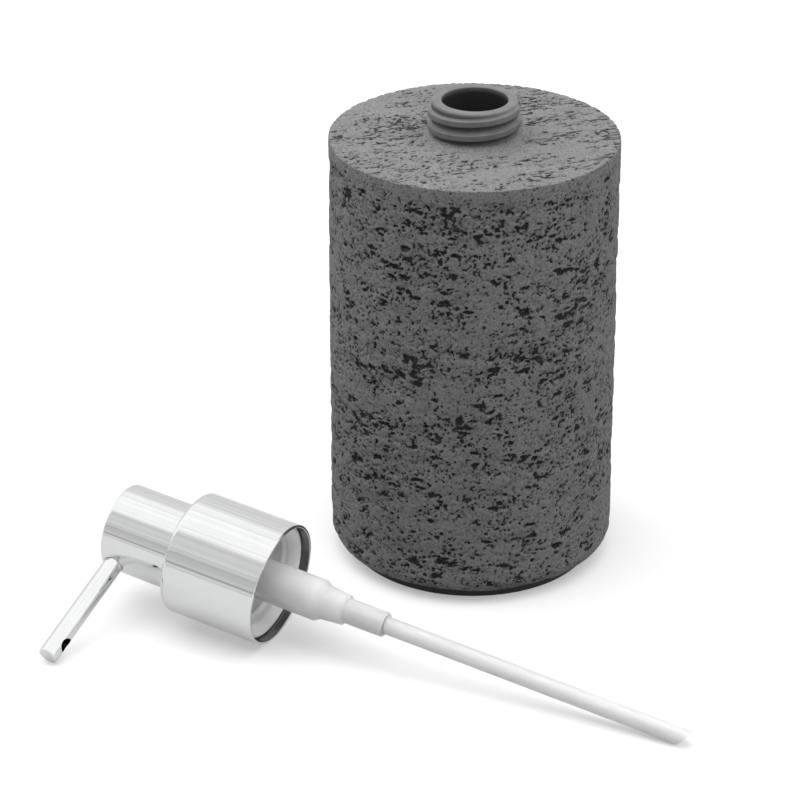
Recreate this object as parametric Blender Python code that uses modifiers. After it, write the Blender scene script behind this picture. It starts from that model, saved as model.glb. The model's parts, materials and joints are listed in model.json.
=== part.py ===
"""Soap pump dispenser, taken apart for filling: the stone-effect bottle stands
upright and its pump lies beside it on the same surface, resting on the tip of its
spout, the open rim of its collar and the end of its dip tube.

World frame: metres, +Z up, origin at the centre of the bottle's underside, +X
along the lying pump from its head towards its tube. The pump is modelled in its
own frame: +Z runs up the pump from its tube to its head, and height 0 is the
plane of the collar's open rim, which meets the bottle's shoulder in use.
"""
import math

import bmesh
import bpy
from mathutils import Vector

# Clearances
TOUCH_GAP = 0.0003
SLIDE_GAP = 0.00025
OVERCUT = 0.002
WELD = 0.00001

# Round-off of the turned shapes
BOTTLE_SIDES = 64
LARGE_SIDES = 48
MEDIUM_SIDES = 36
SMALL_SIDES = 24
FINE_SIDES = 16
BALL_RINGS = 10

# Bottle
BODY_RADIUS = 0.0427
BODY_TOP = 0.1332
BODY_WALL = 0.0065
SHOULDER_THICKNESS = 0.008
TOP_ROUND = 0.0006
FOOT_ROUND = 0.006
PAD_THICKNESS = 0.0023
PLUG_THICKNESS = 0.0023
PLUG_SEAT = 0.0033

# Neck and its thread
NECK_HEIGHT = 0.01097
NECK_RADIUS = 0.0126
NECK_BORE = 0.0097
NECK_ROUND = 0.0006
NECK_FOOT = 0.0014
THREAD_PITCH = 0.0043
THREAD_HEIGHT = 0.00105
THREAD_TURNS = 1.6
THREAD_FIRST_CREST = 0.0018
THREAD_START_DEGREES = 162.0
THREAD_STEPS = 16

# Collar: a chromed shell over a threaded insert
COLLAR_HEIGHT = 0.0302
COLLAR_WALL = 0.0009
COLLAR_TOP_WALL = 0.0012
COLLAR_ROUND = 0.0016
INSERT_WALL = 0.0031
INSERT_RECESS = 0.0026
INSERT_MOUTH_WALL = 0.0009
INSERT_LEAD_IN = 0.0024
INSERT_WEB = 0.0012
INSERT_LIP = 0.0032

# Pump housing
HOUSING_RADIUS = 0.00616
HOUSING_WALL = 0.0011
HOUSING_SHOULDER = 0.0130
HOUSING_CHAMFER = 0.0020
TAPER_TOP_RADIUS = 0.00505
TAPER_END_RADIUS = 0.0045
TAPER_LENGTH = 0.0065
NOSE_RADIUS = 0.00369
NOSE_LENGTH = 0.0128
FLANGE_THICKNESS = 0.0012
FLANGE_INSET = 0.0003
GASKET_THICKNESS = 0.0010
VALVE_HOLE = 0.0014
VALVE_SEAT = 0.0012

# Dip tube
TUBE_RADIUS = 0.0026
TUBE_BORE = 0.0018
TUBE_REACH = 0.1289
TUBE_CUT_DEGREES = 38.0

# Pump inside
CAP_LIP = 0.0012
CAP_LIP_OVERHANG = 0.0008
CAP_HUB_HEIGHT = 0.0040
CAP_HUB_WALL = 0.0020
STEM_RADIUS = 0.0033
STEM_BORE = 0.0016
PISTON_HEIGHT = 0.0045
PISTON_LIP = 0.0006
PISTON_SLIP = 0.0008
VALVE_ROD_RADIUS = 0.0011
VALVE_HEAD_HEIGHT = 0.0012
VALVE_ROD_GRIP = 0.0060
SPRING_WIRE = 0.0007
SPRING_TURNS = 5.0
SPRING_SPARE = 0.0002
SPRING_STEPS = 12
RETAINER_HEIGHT = 0.0012
RETAINER_HOLE = 0.0016
BALL_RADIUS = 0.0021

# Head
HEAD_RADIUS = 0.01297
HEAD_TOP = 0.0533
HEAD_WALL = 0.0010
HEAD_TOP_WALL = 0.0014
HEAD_ROUND = 0.0009
HEAD_TRAVEL = 0.012
CORE_HEIGHT = 0.0110
CORE_HUB_HEIGHT = 0.0060
CORE_HUB_WALL = 0.0018
CORE_PRESS_DEPTH = 0.0090

# Spout
SPOUT_RADIUS = 0.00293
SPOUT_BORE = 0.0021
SPOUT_HEIGHT = 0.0482
SPOUT_REACH = 0.0480
SPOUT_RISE_DEGREES = 3.35
SPOUT_ROOT = 0.0072
SPOUT_PLUG_LENGTH = 0.0022
SPOUT_ROUND = 0.0003
OUTLET_LENGTH = 0.0044
OUTLET_WIDTH = 0.0038
OUTLET_FROM_TIP = 0.0056
CHANNEL_RADIUS = 0.0015

# Where the pump lies beside the bottle
PUMP_RIM_X = -0.0222
PUMP_SIDE = -0.0804
RAISE_PIVOT_HEIGHT = 0.008

# Values that follow from the sizes above
PAD_RADIUS = BODY_RADIUS - FOOT_ROUND
BODY_UNDERSIDE = PAD_THICKNESS + TOUCH_GAP
PLUG_RADIUS = PAD_RADIUS - PLUG_SEAT
PLUG_TOP = BODY_UNDERSIDE + PLUG_THICKNESS
CAVITY_RADIUS = BODY_RADIUS - BODY_WALL
CAVITY_TOP = BODY_TOP - SHOULDER_THICKNESS
NECK_TOP = BODY_TOP + NECK_HEIGHT
THREAD_RADIUS = NECK_RADIUS + THREAD_HEIGHT

INSERT_BORE = THREAD_RADIUS + TOUCH_GAP
INSERT_RADIUS = INSERT_BORE + INSERT_WALL
SHELL_BORE = INSERT_RADIUS + TOUCH_GAP
COLLAR_RADIUS = SHELL_BORE + COLLAR_WALL
GASKET_UNDERSIDE = NECK_HEIGHT + TOUCH_GAP
FLANGE_UNDERSIDE = GASKET_UNDERSIDE + GASKET_THICKNESS + TOUCH_GAP
FLANGE_TOP = FLANGE_UNDERSIDE + FLANGE_THICKNESS
FLANGE_RADIUS = NECK_RADIUS - FLANGE_INSET
WEB_UNDERSIDE = FLANGE_TOP + TOUCH_GAP
WEB_TOP = WEB_UNDERSIDE + INSERT_WEB
WEB_HOLE = INSERT_BORE - INSERT_LIP

HOUSING_BORE = HOUSING_RADIUS - HOUSING_WALL
TAPER_TOP = -HOUSING_SHOULDER - HOUSING_CHAMFER
TAPER_END = TAPER_TOP - TAPER_LENGTH
NOSE_END = TAPER_END - NOSE_LENGTH
NOSE_BORE = TUBE_RADIUS + SLIDE_GAP
SEAT_TOP = TAPER_END + HOUSING_WALL
TUBE_TOP = SEAT_TOP - VALVE_SEAT - TOUCH_GAP
CHAMBER_RADIUS = TAPER_END_RADIUS - HOUSING_WALL
BALL_REST = SEAT_TOP + math.sqrt(BALL_RADIUS**2 - VALVE_HOLE**2) + SLIDE_GAP
RETAINER_UNDERSIDE = -HOUSING_SHOULDER + TOUCH_GAP
RETAINER_TOP = RETAINER_UNDERSIDE + RETAINER_HEIGHT

CAP_RADIUS = WEB_HOLE - TOUCH_GAP
CAP_UNDERSIDE = FLANGE_TOP + TOUCH_GAP
CAP_LIP_UNDERSIDE = WEB_TOP + TOUCH_GAP
CAP_LIP_TOP = CAP_LIP_UNDERSIDE + CAP_LIP
CAP_BORE = STEM_RADIUS + SLIDE_GAP
CAP_HUB_RADIUS = CAP_BORE + CAP_HUB_WALL
CAP_HUB_TOP = CAP_LIP_TOP + CAP_HUB_HEIGHT

HEAD_BORE = HEAD_RADIUS - HEAD_WALL
HEAD_SKIRT = WEB_TOP + HEAD_TRAVEL + TOUCH_GAP
CORE_TOP = HEAD_TOP - HEAD_TOP_WALL - TOUCH_GAP
CORE_UNDERSIDE = CORE_TOP - CORE_HEIGHT
CORE_RADIUS = HEAD_BORE - TOUCH_GAP
CORE_HUB_END = CORE_UNDERSIDE - CORE_HUB_HEIGHT
STEM_TOP = CORE_HUB_END + CORE_PRESS_DEPTH
CORE_STEM_BORE = STEM_RADIUS + TOUCH_GAP
CORE_HUB_RADIUS = CORE_STEM_BORE + CORE_HUB_WALL

SPRING_RADIUS = HOUSING_BORE - SPRING_WIRE - TOUCH_GAP
SPRING_PRESSED = (SPRING_TURNS + 1) * SPRING_WIRE + SPRING_SPARE
SPRING_FOOT = RETAINER_TOP + TOUCH_GAP
SPRING_TOP = SPRING_FOOT + SPRING_PRESSED + HEAD_TRAVEL
VALVE_HEAD_UNDERSIDE = SPRING_TOP + TOUCH_GAP
VALVE_HEAD_TOP = VALVE_HEAD_UNDERSIDE + VALVE_HEAD_HEIGHT
PISTON_RADIUS = HOUSING_BORE - SLIDE_GAP
PISTON_BORE = VALVE_ROD_RADIUS + SLIDE_GAP
PISTON_UNDERSIDE = VALVE_HEAD_TOP + TOUCH_GAP
PISTON_TOP = PISTON_UNDERSIDE + PISTON_HEIGHT
STEM_FOOT = PISTON_TOP + PISTON_SLIP + TOUCH_GAP
VALVE_ROD_TOP = STEM_FOOT + VALVE_ROD_GRIP

# Contact of the lying pump with the surface
TUBE_SHORT_SIDE = TUBE_REACH - 2 * TUBE_RADIUS * math.tan(math.radians(TUBE_CUT_DEGREES))
PUMP_TILT = math.atan2(COLLAR_RADIUS - TUBE_RADIUS, TUBE_SHORT_SIDE)
PUMP_RIM_Z = COLLAR_RADIUS * math.cos(PUMP_TILT)


def spout_roll():
    """Angle of the spout from straight down about the pump's axis, at which the
    lowest point of its tip meets the surface."""
    rise = math.radians(SPOUT_RISE_DEGREES)
    sine, cosine = math.sin(PUMP_TILT), math.cos(PUMP_TILT)
    drop_share = 0.0
    for _ in range(30):
        slope = sine * math.sin(rise) - cosine * math.cos(rise) * drop_share
        edge = SPOUT_RADIUS * math.sqrt(1 - slope**2)
        height = PUMP_RIM_Z + sine * (SPOUT_HEIGHT + SPOUT_REACH * math.sin(rise)) - edge
        drop_share = height / (SPOUT_REACH * math.cos(rise) * cosine)
    return math.acos(drop_share)


def clear_scene():
    for old in list(bpy.data.objects):
        bpy.data.objects.remove(old, do_unlink=True)


def new_collection(name, hidden=False):
    made = bpy.data.collections.new(name)
    made.hide_render = hidden
    bpy.context.scene.collection.children.link(made)
    return made


def new_material(name, colour, roughness, metallic=0.0, transmission=0.0):
    made = bpy.data.materials.new(name)
    made.use_nodes = True
    shader = made.node_tree.nodes["Principled BSDF"]
    shader.inputs["Base Color"].default_value = (*colour, 1.0)
    shader.inputs["Roughness"].default_value = roughness
    shader.inputs["Metallic"].default_value = metallic
    shader.inputs["Transmission Weight"].default_value = transmission
    made.diffuse_color = (*colour, 1.0)
    return made


def arc(centre_r, centre_z, radius, start, end, steps):
    """Points of a profile arc, as (radius, height), between two angles in degrees."""
    points = []
    for step in range(steps + 1):
        angle = math.radians(start + (end - start) * step / steps)
        points.append((centre_r + radius * math.cos(angle), centre_z + radius * math.sin(angle)))
    return points


def place(obj, collection, material, parent):
    collection.objects.link(obj)
    obj.parent = parent
    if material:
        obj.data.materials.append(material)
    return obj


def turned(name, profile, sides, collection, material=None, parent=None, ring=True):
    """A turned solid. A ring's profile is a closed loop clear of the axis, and a
    plug's starts and ends on it. Both run down the outer side."""
    mesh = bpy.data.meshes.new(name)
    shape = bmesh.new()
    verts = [shape.verts.new((radius, 0.0, height)) for radius, height in profile]
    pairs = list(zip(verts, verts[1:]))
    if ring:
        pairs.append((verts[-1], verts[0]))
    for first, second in pairs:
        shape.edges.new((first, second))
    shape.to_mesh(mesh)
    shape.free()
    obj = place(bpy.data.objects.new(name, mesh), collection, material, parent)
    screw = obj.modifiers.new("Turn", "SCREW")
    screw.axis = "Z"
    screw.steps = sides
    screw.render_steps = sides
    screw.use_merge_vertices = True
    screw.merge_threshold = WELD
    screw.use_smooth_shade = True
    return obj


def evaluated_mesh(obj, name):
    bpy.context.view_layer.update()
    graph = bpy.context.evaluated_depsgraph_get()
    mesh = bpy.data.meshes.new_from_object(obj.evaluated_get(graph))
    mesh.name = name
    return mesh


def round_wire(name, points, radius, collection, material=None, parent=None):
    """A wire of round section along the points, as a closed mesh."""
    curve = bpy.data.curves.new(name + "_path", "CURVE")
    curve.dimensions = "3D"
    curve.bevel_depth = radius
    curve.bevel_resolution = 2
    curve.use_fill_caps = True
    spline = curve.splines.new("POLY")
    spline.points.add(len(points) - 1)
    for point, position in zip(spline.points, points):
        point.co = (*position, 1.0)
    path = bpy.data.objects.new(name + "_path", curve)
    collection.objects.link(path)
    mesh = evaluated_mesh(path, name)
    bpy.data.objects.remove(path, do_unlink=True)
    shape = bmesh.new()
    shape.from_mesh(mesh)
    bmesh.ops.remove_doubles(shape, verts=shape.verts, dist=WELD)
    bmesh.ops.recalc_face_normals(shape, faces=shape.faces)
    shape.to_mesh(mesh)
    shape.free()
    mesh.shade_smooth()
    return place(bpy.data.objects.new(name, mesh), collection, material, parent)


def helix(radius, foot, height, turns, steps_per_turn, start=0.0):
    """Points of a helix about the local Z axis, from its foot upwards."""
    count = round(turns * steps_per_turn)
    points = []
    for step in range(count + 1):
        share = step / count
        angle = start + 2 * math.pi * turns * share
        points.append(
            (radius * math.cos(angle), radius * math.sin(angle), foot + height * share)
        )
    return points


def boolean(obj, tool, operation):
    cut = obj.modifiers.new(tool.name, "BOOLEAN")
    cut.operation = operation
    cut.object = tool
    cut.solver = "EXACT"


def as_helper(obj):
    obj.hide_render = True
    obj.display_type = "WIRE"
    return obj


def cylinder(name, radius, depth, sides, collection, parent=None):
    """A helper cylinder centred on its origin, along its local Z axis."""
    mesh = bpy.data.meshes.new(name)
    shape = bmesh.new()
    bmesh.ops.create_cone(
        shape,
        cap_ends=True,
        segments=sides,
        radius1=radius,
        radius2=radius,
        depth=depth,
    )
    shape.to_mesh(mesh)
    shape.free()
    return as_helper(place(bpy.data.objects.new(name, mesh), collection, None, parent))


def build_bottle(parts, cutters, stone, dark):
    """The cast body with its threaded neck, the plug in its underside and the pad."""
    neck_flare = NECK_RADIUS + NECK_FOOT
    profile = arc(NECK_RADIUS - NECK_ROUND, NECK_TOP - NECK_ROUND, NECK_ROUND, 90, 0, 2)
    profile += arc(neck_flare, BODY_TOP + NECK_FOOT, NECK_FOOT, 180, 270, 3)
    profile += arc(BODY_RADIUS - TOP_ROUND, BODY_TOP - TOP_ROUND, TOP_ROUND, 90, 0, 2)
    foot_centre = BODY_UNDERSIDE + FOOT_ROUND
    profile += arc(BODY_RADIUS - FOOT_ROUND, foot_centre, FOOT_ROUND, 0, -90, 5)
    plug_bore = PLUG_RADIUS + TOUCH_GAP
    ledge = PLUG_TOP + TOUCH_GAP
    slope = CAVITY_RADIUS - plug_bore
    profile += [
        (plug_bore, BODY_UNDERSIDE),
        (plug_bore, ledge),
        (CAVITY_RADIUS, ledge + slope),
        (CAVITY_RADIUS, CAVITY_TOP - SHOULDER_THICKNESS / 2),
        (CAVITY_RADIUS - SHOULDER_THICKNESS / 2, CAVITY_TOP),
        (NECK_BORE, CAVITY_TOP),
        (NECK_BORE, NECK_TOP - NECK_ROUND),
        (NECK_BORE + NECK_ROUND, NECK_TOP),
    ]
    body = turned("bottle_body", profile, BOTTLE_SIDES, parts, stone)
    thread_top = NECK_TOP - THREAD_FIRST_CREST
    rise = THREAD_TURNS * THREAD_PITCH
    start = math.radians(THREAD_START_DEGREES)
    path = helix(
        NECK_RADIUS - SLIDE_GAP / 2, thread_top - rise, rise, THREAD_TURNS, THREAD_STEPS, start
    )
    ridge = as_helper(round_wire("neck_thread", path, THREAD_HEIGHT + SLIDE_GAP / 2, cutters))
    boolean(body, ridge, "UNION")

    turned(
        "base_plug",
        [(0.0, PLUG_TOP), (PLUG_RADIUS, PLUG_TOP), (PLUG_RADIUS, BODY_UNDERSIDE), (0.0, BODY_UNDERSIDE)],
        BOTTLE_SIDES, parts, dark, ring=False,
    )
    turned(
        "anti_slip_pad",
        [(0.0, PAD_THICKNESS), (PAD_RADIUS, PAD_THICKNESS), (PAD_RADIUS, 0.0), (0.0, 0.0)],
        BOTTLE_SIDES, parts, dark, ring=False,
    )


def build_collar(parts, cutters, pump, chrome, white):
    """The chromed shell and the threaded insert inside it, which turn together."""
    inner_round = COLLAR_ROUND - COLLAR_WALL
    head_hole = HEAD_RADIUS + TOUCH_GAP
    ceiling = COLLAR_HEIGHT - COLLAR_TOP_WALL
    profile = arc(
        COLLAR_RADIUS - COLLAR_ROUND, COLLAR_HEIGHT - COLLAR_ROUND, COLLAR_ROUND, 90, 0, 5
    )
    profile += [(COLLAR_RADIUS, 0.0), (SHELL_BORE, 0.0)]
    profile += arc(SHELL_BORE - inner_round, ceiling - inner_round, inner_round, 0, 90, 3)
    profile += [(head_hole, ceiling), (head_hole, COLLAR_HEIGHT)]
    turned("collar_shell", profile, LARGE_SIDES, parts, chrome, pump)

    mouth = INSERT_RADIUS - INSERT_MOUTH_WALL
    profile = [
        (INSERT_RADIUS, WEB_TOP),
        (INSERT_RADIUS, INSERT_RECESS),
        (mouth, INSERT_RECESS),
        (INSERT_BORE, INSERT_RECESS + INSERT_LEAD_IN),
        (INSERT_BORE, WEB_UNDERSIDE),
        (WEB_HOLE, WEB_UNDERSIDE),
        (WEB_HOLE, WEB_TOP),
    ]
    insert = turned("collar_insert", profile, LARGE_SIDES, parts, white, pump)
    ridge_radius = INSERT_BORE - NECK_RADIUS - TOUCH_GAP
    foot = INSERT_RECESS + INSERT_LEAD_IN + ridge_radius / 2
    rise = WEB_UNDERSIDE - foot - 2 * ridge_radius
    path = helix(INSERT_BORE, foot, rise, rise / THREAD_PITCH, THREAD_STEPS)
    ridge = as_helper(round_wire("insert_thread", path, ridge_radius, cutters, parent=pump))
    boolean(insert, ridge, "UNION")


def build_housing(parts, pump, frosted, white, rubber):
    """The stepped housing that hangs in the bottle, its gasket and its cap."""
    profile = [
        (FLANGE_RADIUS, FLANGE_TOP),
        (FLANGE_RADIUS, FLANGE_UNDERSIDE),
        (HOUSING_RADIUS, FLANGE_UNDERSIDE),
        (HOUSING_RADIUS, -HOUSING_SHOULDER),
        (TAPER_TOP_RADIUS, TAPER_TOP),
        (TAPER_END_RADIUS, TAPER_END),
        (NOSE_RADIUS, TAPER_END - (TAPER_END_RADIUS - NOSE_RADIUS) / 2),
        (NOSE_RADIUS, NOSE_END),
        (NOSE_BORE, NOSE_END),
        (NOSE_BORE, SEAT_TOP - VALVE_SEAT),
        (VALVE_HOLE, SEAT_TOP - VALVE_SEAT),
        (VALVE_HOLE, SEAT_TOP),
        (CHAMBER_RADIUS, SEAT_TOP),
        (TAPER_TOP_RADIUS - HOUSING_WALL, TAPER_TOP),
        (TAPER_TOP_RADIUS - HOUSING_WALL, -HOUSING_SHOULDER),
        (HOUSING_BORE, -HOUSING_SHOULDER),
        (HOUSING_BORE, FLANGE_TOP),
    ]
    turned("pump_housing", profile, MEDIUM_SIDES, parts, frosted, pump)

    gasket_bore = HOUSING_RADIUS + TOUCH_GAP
    gasket_top = GASKET_UNDERSIDE + GASKET_THICKNESS
    turned(
        "sealing_gasket",
        [
            (FLANGE_RADIUS, gasket_top),
            (FLANGE_RADIUS, GASKET_UNDERSIDE),
            (gasket_bore, GASKET_UNDERSIDE),
            (gasket_bore, gasket_top),
        ],
        MEDIUM_SIDES, parts, rubber, pump,
    )

    lip_radius = CAP_RADIUS + CAP_LIP_OVERHANG
    turned(
        "housing_cap",
        [
            (CAP_HUB_RADIUS, CAP_HUB_TOP),
            (CAP_HUB_RADIUS, CAP_LIP_TOP),
            (lip_radius, CAP_LIP_TOP),
            (lip_radius, CAP_LIP_UNDERSIDE),
            (CAP_RADIUS, CAP_LIP_UNDERSIDE),
            (CAP_RADIUS, CAP_UNDERSIDE),
            (CAP_BORE, CAP_UNDERSIDE),
            (CAP_BORE, CAP_HUB_TOP),
        ],
        MEDIUM_SIDES, parts, white, pump,
    )


def build_dip_tube(parts, cutters, pump, frosted):
    """The straight tube pressed into the housing's nose, cut off at a slant."""
    profile = [
        (TUBE_RADIUS, TUBE_TOP),
        (TUBE_RADIUS, -TUBE_REACH - OVERCUT),
        (TUBE_BORE, -TUBE_REACH - OVERCUT),
        (TUBE_BORE, TUBE_TOP),
    ]
    tube = turned("dip_tube", profile, FINE_SIDES, parts, frosted, pump)
    mesh = bpy.data.meshes.new("tube_end_cut")
    shape = bmesh.new()
    bmesh.ops.create_cube(shape, size=8 * TUBE_RADIUS)
    shape.to_mesh(mesh)
    shape.free()
    block = as_helper(place(bpy.data.objects.new("tube_end_cut", mesh), cutters, None, pump))
    slant = math.radians(TUBE_CUT_DEGREES)
    block.rotation_euler = (0.0, slant, 0.0)
    middle = -(TUBE_REACH + TUBE_SHORT_SIDE) / 2
    below = Vector((-math.sin(slant), 0.0, -math.cos(slant))) * 4 * TUBE_RADIUS
    block.location = Vector((0.0, 0.0, middle)) + below
    boolean(tube, block, "DIFFERENCE")


def build_pump_inside(parts, pump, steel, white, frosted):
    """What pumps: the stem, its valve and piston, the spring and the inlet ball."""
    turned(
        "pump_stem",
        [
            (STEM_RADIUS, STEM_TOP),
            (STEM_RADIUS, STEM_FOOT),
            (STEM_BORE, STEM_FOOT),
            (STEM_BORE, STEM_TOP),
        ],
        SMALL_SIDES, parts, white, pump,
    )
    turned(
        "stem_valve",
        [
            (0.0, VALVE_ROD_TOP),
            (VALVE_ROD_RADIUS, VALVE_ROD_TOP),
            (VALVE_ROD_RADIUS, VALVE_HEAD_TOP),
            (SPRING_RADIUS, VALVE_HEAD_TOP),
            (SPRING_RADIUS, VALVE_HEAD_UNDERSIDE),
            (0.0, VALVE_HEAD_UNDERSIDE),
        ],
        FINE_SIDES, parts, white, pump, ring=False,
    )
    waist = PISTON_RADIUS - PISTON_LIP
    turned(
        "piston_seal",
        [
            (PISTON_RADIUS, PISTON_TOP),
            (waist, PISTON_TOP - 2 * PISTON_LIP),
            (waist, PISTON_UNDERSIDE + 2 * PISTON_LIP),
            (PISTON_RADIUS, PISTON_UNDERSIDE),
            (PISTON_BORE, PISTON_UNDERSIDE),
            (PISTON_BORE, PISTON_TOP),
        ],
        SMALL_SIDES, parts, frosted, pump,
    )
    wire = SPRING_WIRE / 2
    foot = SPRING_FOOT + wire
    length = SPRING_TOP - wire - foot
    path = helix(SPRING_RADIUS - wire, foot, length, SPRING_TURNS, SPRING_STEPS)
    round_wire("return_spring", path, wire, parts, steel, pump)
    retainer_radius = HOUSING_BORE - SLIDE_GAP
    turned(
        "ball_retainer",
        [
            (retainer_radius, RETAINER_TOP),
            (retainer_radius, RETAINER_UNDERSIDE),
            (RETAINER_HOLE, RETAINER_UNDERSIDE),
            (RETAINER_HOLE, RETAINER_TOP),
        ],
        SMALL_SIDES, parts, white, pump,
    )
    mesh = bpy.data.meshes.new("inlet_ball")
    shape = bmesh.new()
    bmesh.ops.create_uvsphere(shape, u_segments=FINE_SIDES, v_segments=BALL_RINGS, radius=BALL_RADIUS)
    shape.to_mesh(mesh)
    shape.free()
    mesh.shade_smooth()
    ball = place(bpy.data.objects.new("inlet_ball", mesh), parts, steel, pump)
    ball.location = (0.0, 0.0, BALL_REST)


def build_head(parts, cutters, head, spout, chrome, white):
    """The chromed head and the core that carries the stem and the spout."""
    inner_round = HEAD_ROUND / 2
    ceiling = HEAD_TOP - HEAD_TOP_WALL
    profile = [(0.0, HEAD_TOP)]
    profile += arc(HEAD_RADIUS - HEAD_ROUND, HEAD_TOP - HEAD_ROUND, HEAD_ROUND, 90, 0, 3)
    profile += [(HEAD_RADIUS, HEAD_SKIRT), (HEAD_BORE, HEAD_SKIRT)]
    profile += arc(HEAD_BORE - inner_round, ceiling - inner_round, inner_round, 0, 90, 2)
    profile += [(0.0, ceiling)]
    shell = turned("head_shell", profile, LARGE_SIDES, parts, chrome, head, ring=False)

    profile = [
        (0.0, CORE_TOP),
        (CORE_RADIUS, CORE_TOP),
        (CORE_RADIUS, CORE_UNDERSIDE),
        (CORE_HUB_RADIUS, CORE_UNDERSIDE),
        (CORE_HUB_RADIUS, CORE_HUB_END),
        (CORE_STEM_BORE, CORE_HUB_END),
        (CORE_STEM_BORE, STEM_TOP + TOUCH_GAP),
        (0.0, STEM_TOP + TOUCH_GAP),
    ]
    core = turned("head_core", profile, MEDIUM_SIDES, parts, white, head, ring=False)

    reach = HEAD_RADIUS + OVERCUT
    hole = cylinder("spout_hole", SPOUT_RADIUS + TOUCH_GAP, reach, SMALL_SIDES, cutters, spout)
    hole.location = (0.0, 0.0, SPOUT_ROOT - TOUCH_GAP + reach / 2)
    boolean(shell, hole, "DIFFERENCE")
    boolean(core, hole, "DIFFERENCE")
    channel = cylinder("liquid_channel", CHANNEL_RADIUS, 2 * SPOUT_ROOT, FINE_SIDES, cutters, spout)
    channel.location = (0.0, 0.0, SPOUT_ROOT)
    boolean(core, channel, "DIFFERENCE")
    depth = SPOUT_HEIGHT - STEM_TOP + CHANNEL_RADIUS
    drop = cylinder("stem_channel", CHANNEL_RADIUS, 2 * depth, FINE_SIDES, cutters, head)
    drop.location = (0.0, 0.0, SPOUT_HEIGHT - depth)
    boolean(core, drop, "DIFFERENCE")


def build_spout(parts, cutters, spout, chrome):
    """The straight spout tube, the plug in its tip and the outlet in its side."""
    profile = arc(SPOUT_RADIUS - SPOUT_ROUND, SPOUT_REACH - SPOUT_ROUND, SPOUT_ROUND, 90, 0, 2)
    profile += [
        (SPOUT_RADIUS, SPOUT_ROOT),
        (SPOUT_BORE, SPOUT_ROOT),
        (SPOUT_BORE, SPOUT_REACH),
    ]
    tube = turned("spout_tube", profile, SMALL_SIDES, parts, chrome, spout)
    outlet = cylinder("outlet_cut", OUTLET_WIDTH / 2, 2 * SPOUT_RADIUS, FINE_SIDES, cutters, spout)
    outlet.rotation_euler = (0.0, math.pi / 2, 0.0)
    outlet.scale = (OUTLET_LENGTH / OUTLET_WIDTH, 1.0, 1.0)
    outlet.location = (SPOUT_RADIUS, 0.0, SPOUT_REACH - OUTLET_FROM_TIP)
    boolean(tube, outlet, "DIFFERENCE")
    plug_radius = SPOUT_BORE - TOUCH_GAP
    plug_end = SPOUT_REACH - SPOUT_PLUG_LENGTH
    turned(
        "spout_plug",
        [
            (0.0, SPOUT_REACH),
            (plug_radius, SPOUT_REACH),
            (plug_radius, plug_end),
            (0.0, plug_end),
        ],
        FINE_SIDES, parts, chrome, spout, ring=False,
    )


def pump_frames(parts):
    """Empties at the end of the tube, about which the pump is raised, on the pump's
    axis, on the head and along the spout."""
    pivot = bpy.data.objects.new("raise_pivot", None)
    parts.objects.link(pivot)
    reach = TUBE_REACH * math.cos(PUMP_TILT)
    pivot.location = (PUMP_RIM_X + reach, PUMP_SIDE, RAISE_PIVOT_HEIGHT)
    pump = bpy.data.objects.new("pump_frame", None)
    parts.objects.link(pump)
    pump.parent = pivot
    pump.location = (-reach, 0.0, PUMP_RIM_Z - RAISE_PIVOT_HEIGHT)
    pump.rotation_euler = (0.0, PUMP_TILT - math.pi / 2, 0.0)
    head = bpy.data.objects.new("head_frame", None)
    parts.objects.link(head)
    head.parent = pump
    head.rotation_euler = (0.0, 0.0, math.pi + spout_roll())
    spout = bpy.data.objects.new("spout_frame", None)
    parts.objects.link(spout)
    spout.parent = head
    spout.location = (0.0, 0.0, SPOUT_HEIGHT)
    spout.rotation_euler = (0.0, math.pi / 2 - math.radians(SPOUT_RISE_DEGREES), 0.0)
    return pump, head, spout


def shade_edges(parts):
    """Keeps the turned pieces smooth round their sides and sharp at their corners."""
    for obj in parts.objects:
        if obj.type == "MESH":
            obj.data.set_sharp_from_angle(angle=math.radians(30))


def main():
    clear_scene()
    parts = new_collection("soap_pump_dispenser")
    cutters = new_collection("cutters", hidden=True)
    stone = new_material("cast_stone", (0.105, 0.105, 0.108), 0.85)
    dark = new_material("dark_rubber", (0.02, 0.02, 0.02), 0.7)
    chrome = new_material("chrome_plate", (0.80, 0.80, 0.81), 0.06, metallic=1.0)
    white = new_material("white_plastic", (0.80, 0.80, 0.79), 0.35)
    frosted = new_material("frosted_plastic", (0.86, 0.87, 0.87), 0.35, transmission=0.5)
    steel = new_material("spring_steel", (0.55, 0.55, 0.56), 0.25, metallic=1.0)
    rubber = new_material("gasket_foam", (0.75, 0.75, 0.74), 0.8)

    pump, head, spout = pump_frames(parts)
    build_bottle(parts, cutters, stone, dark)
    build_collar(parts, cutters, pump, chrome, white)
    build_housing(parts, pump, frosted, white, rubber)
    build_dip_tube(parts, cutters, pump, frosted)
    build_pump_inside(parts, pump, steel, white, frosted)
    build_head(parts, cutters, head, spout, chrome, white)
    build_spout(parts, cutters, spout, chrome)
    shade_edges(parts)


main()
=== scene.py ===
"""Looks of a soap pump dispenser, taken apart for filling: a cast stone bottle with
a threaded neck, and its chromed pump lying beside it on a pale studio floor.

Shapes are worked out in millimetres and placed in the frame's metres. The fields
that are sizes are in millimetres too, and those that are turns are in degrees, but
the studio's places and the reach of its floor are in metres.
"""
import json
import logging
import math
from collections.abc import Sequence
from dataclasses import dataclass, field
from enum import Enum
from typing import Any

import bmesh
import bpy
import numpy as np
from mathutils import Matrix, Vector


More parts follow.
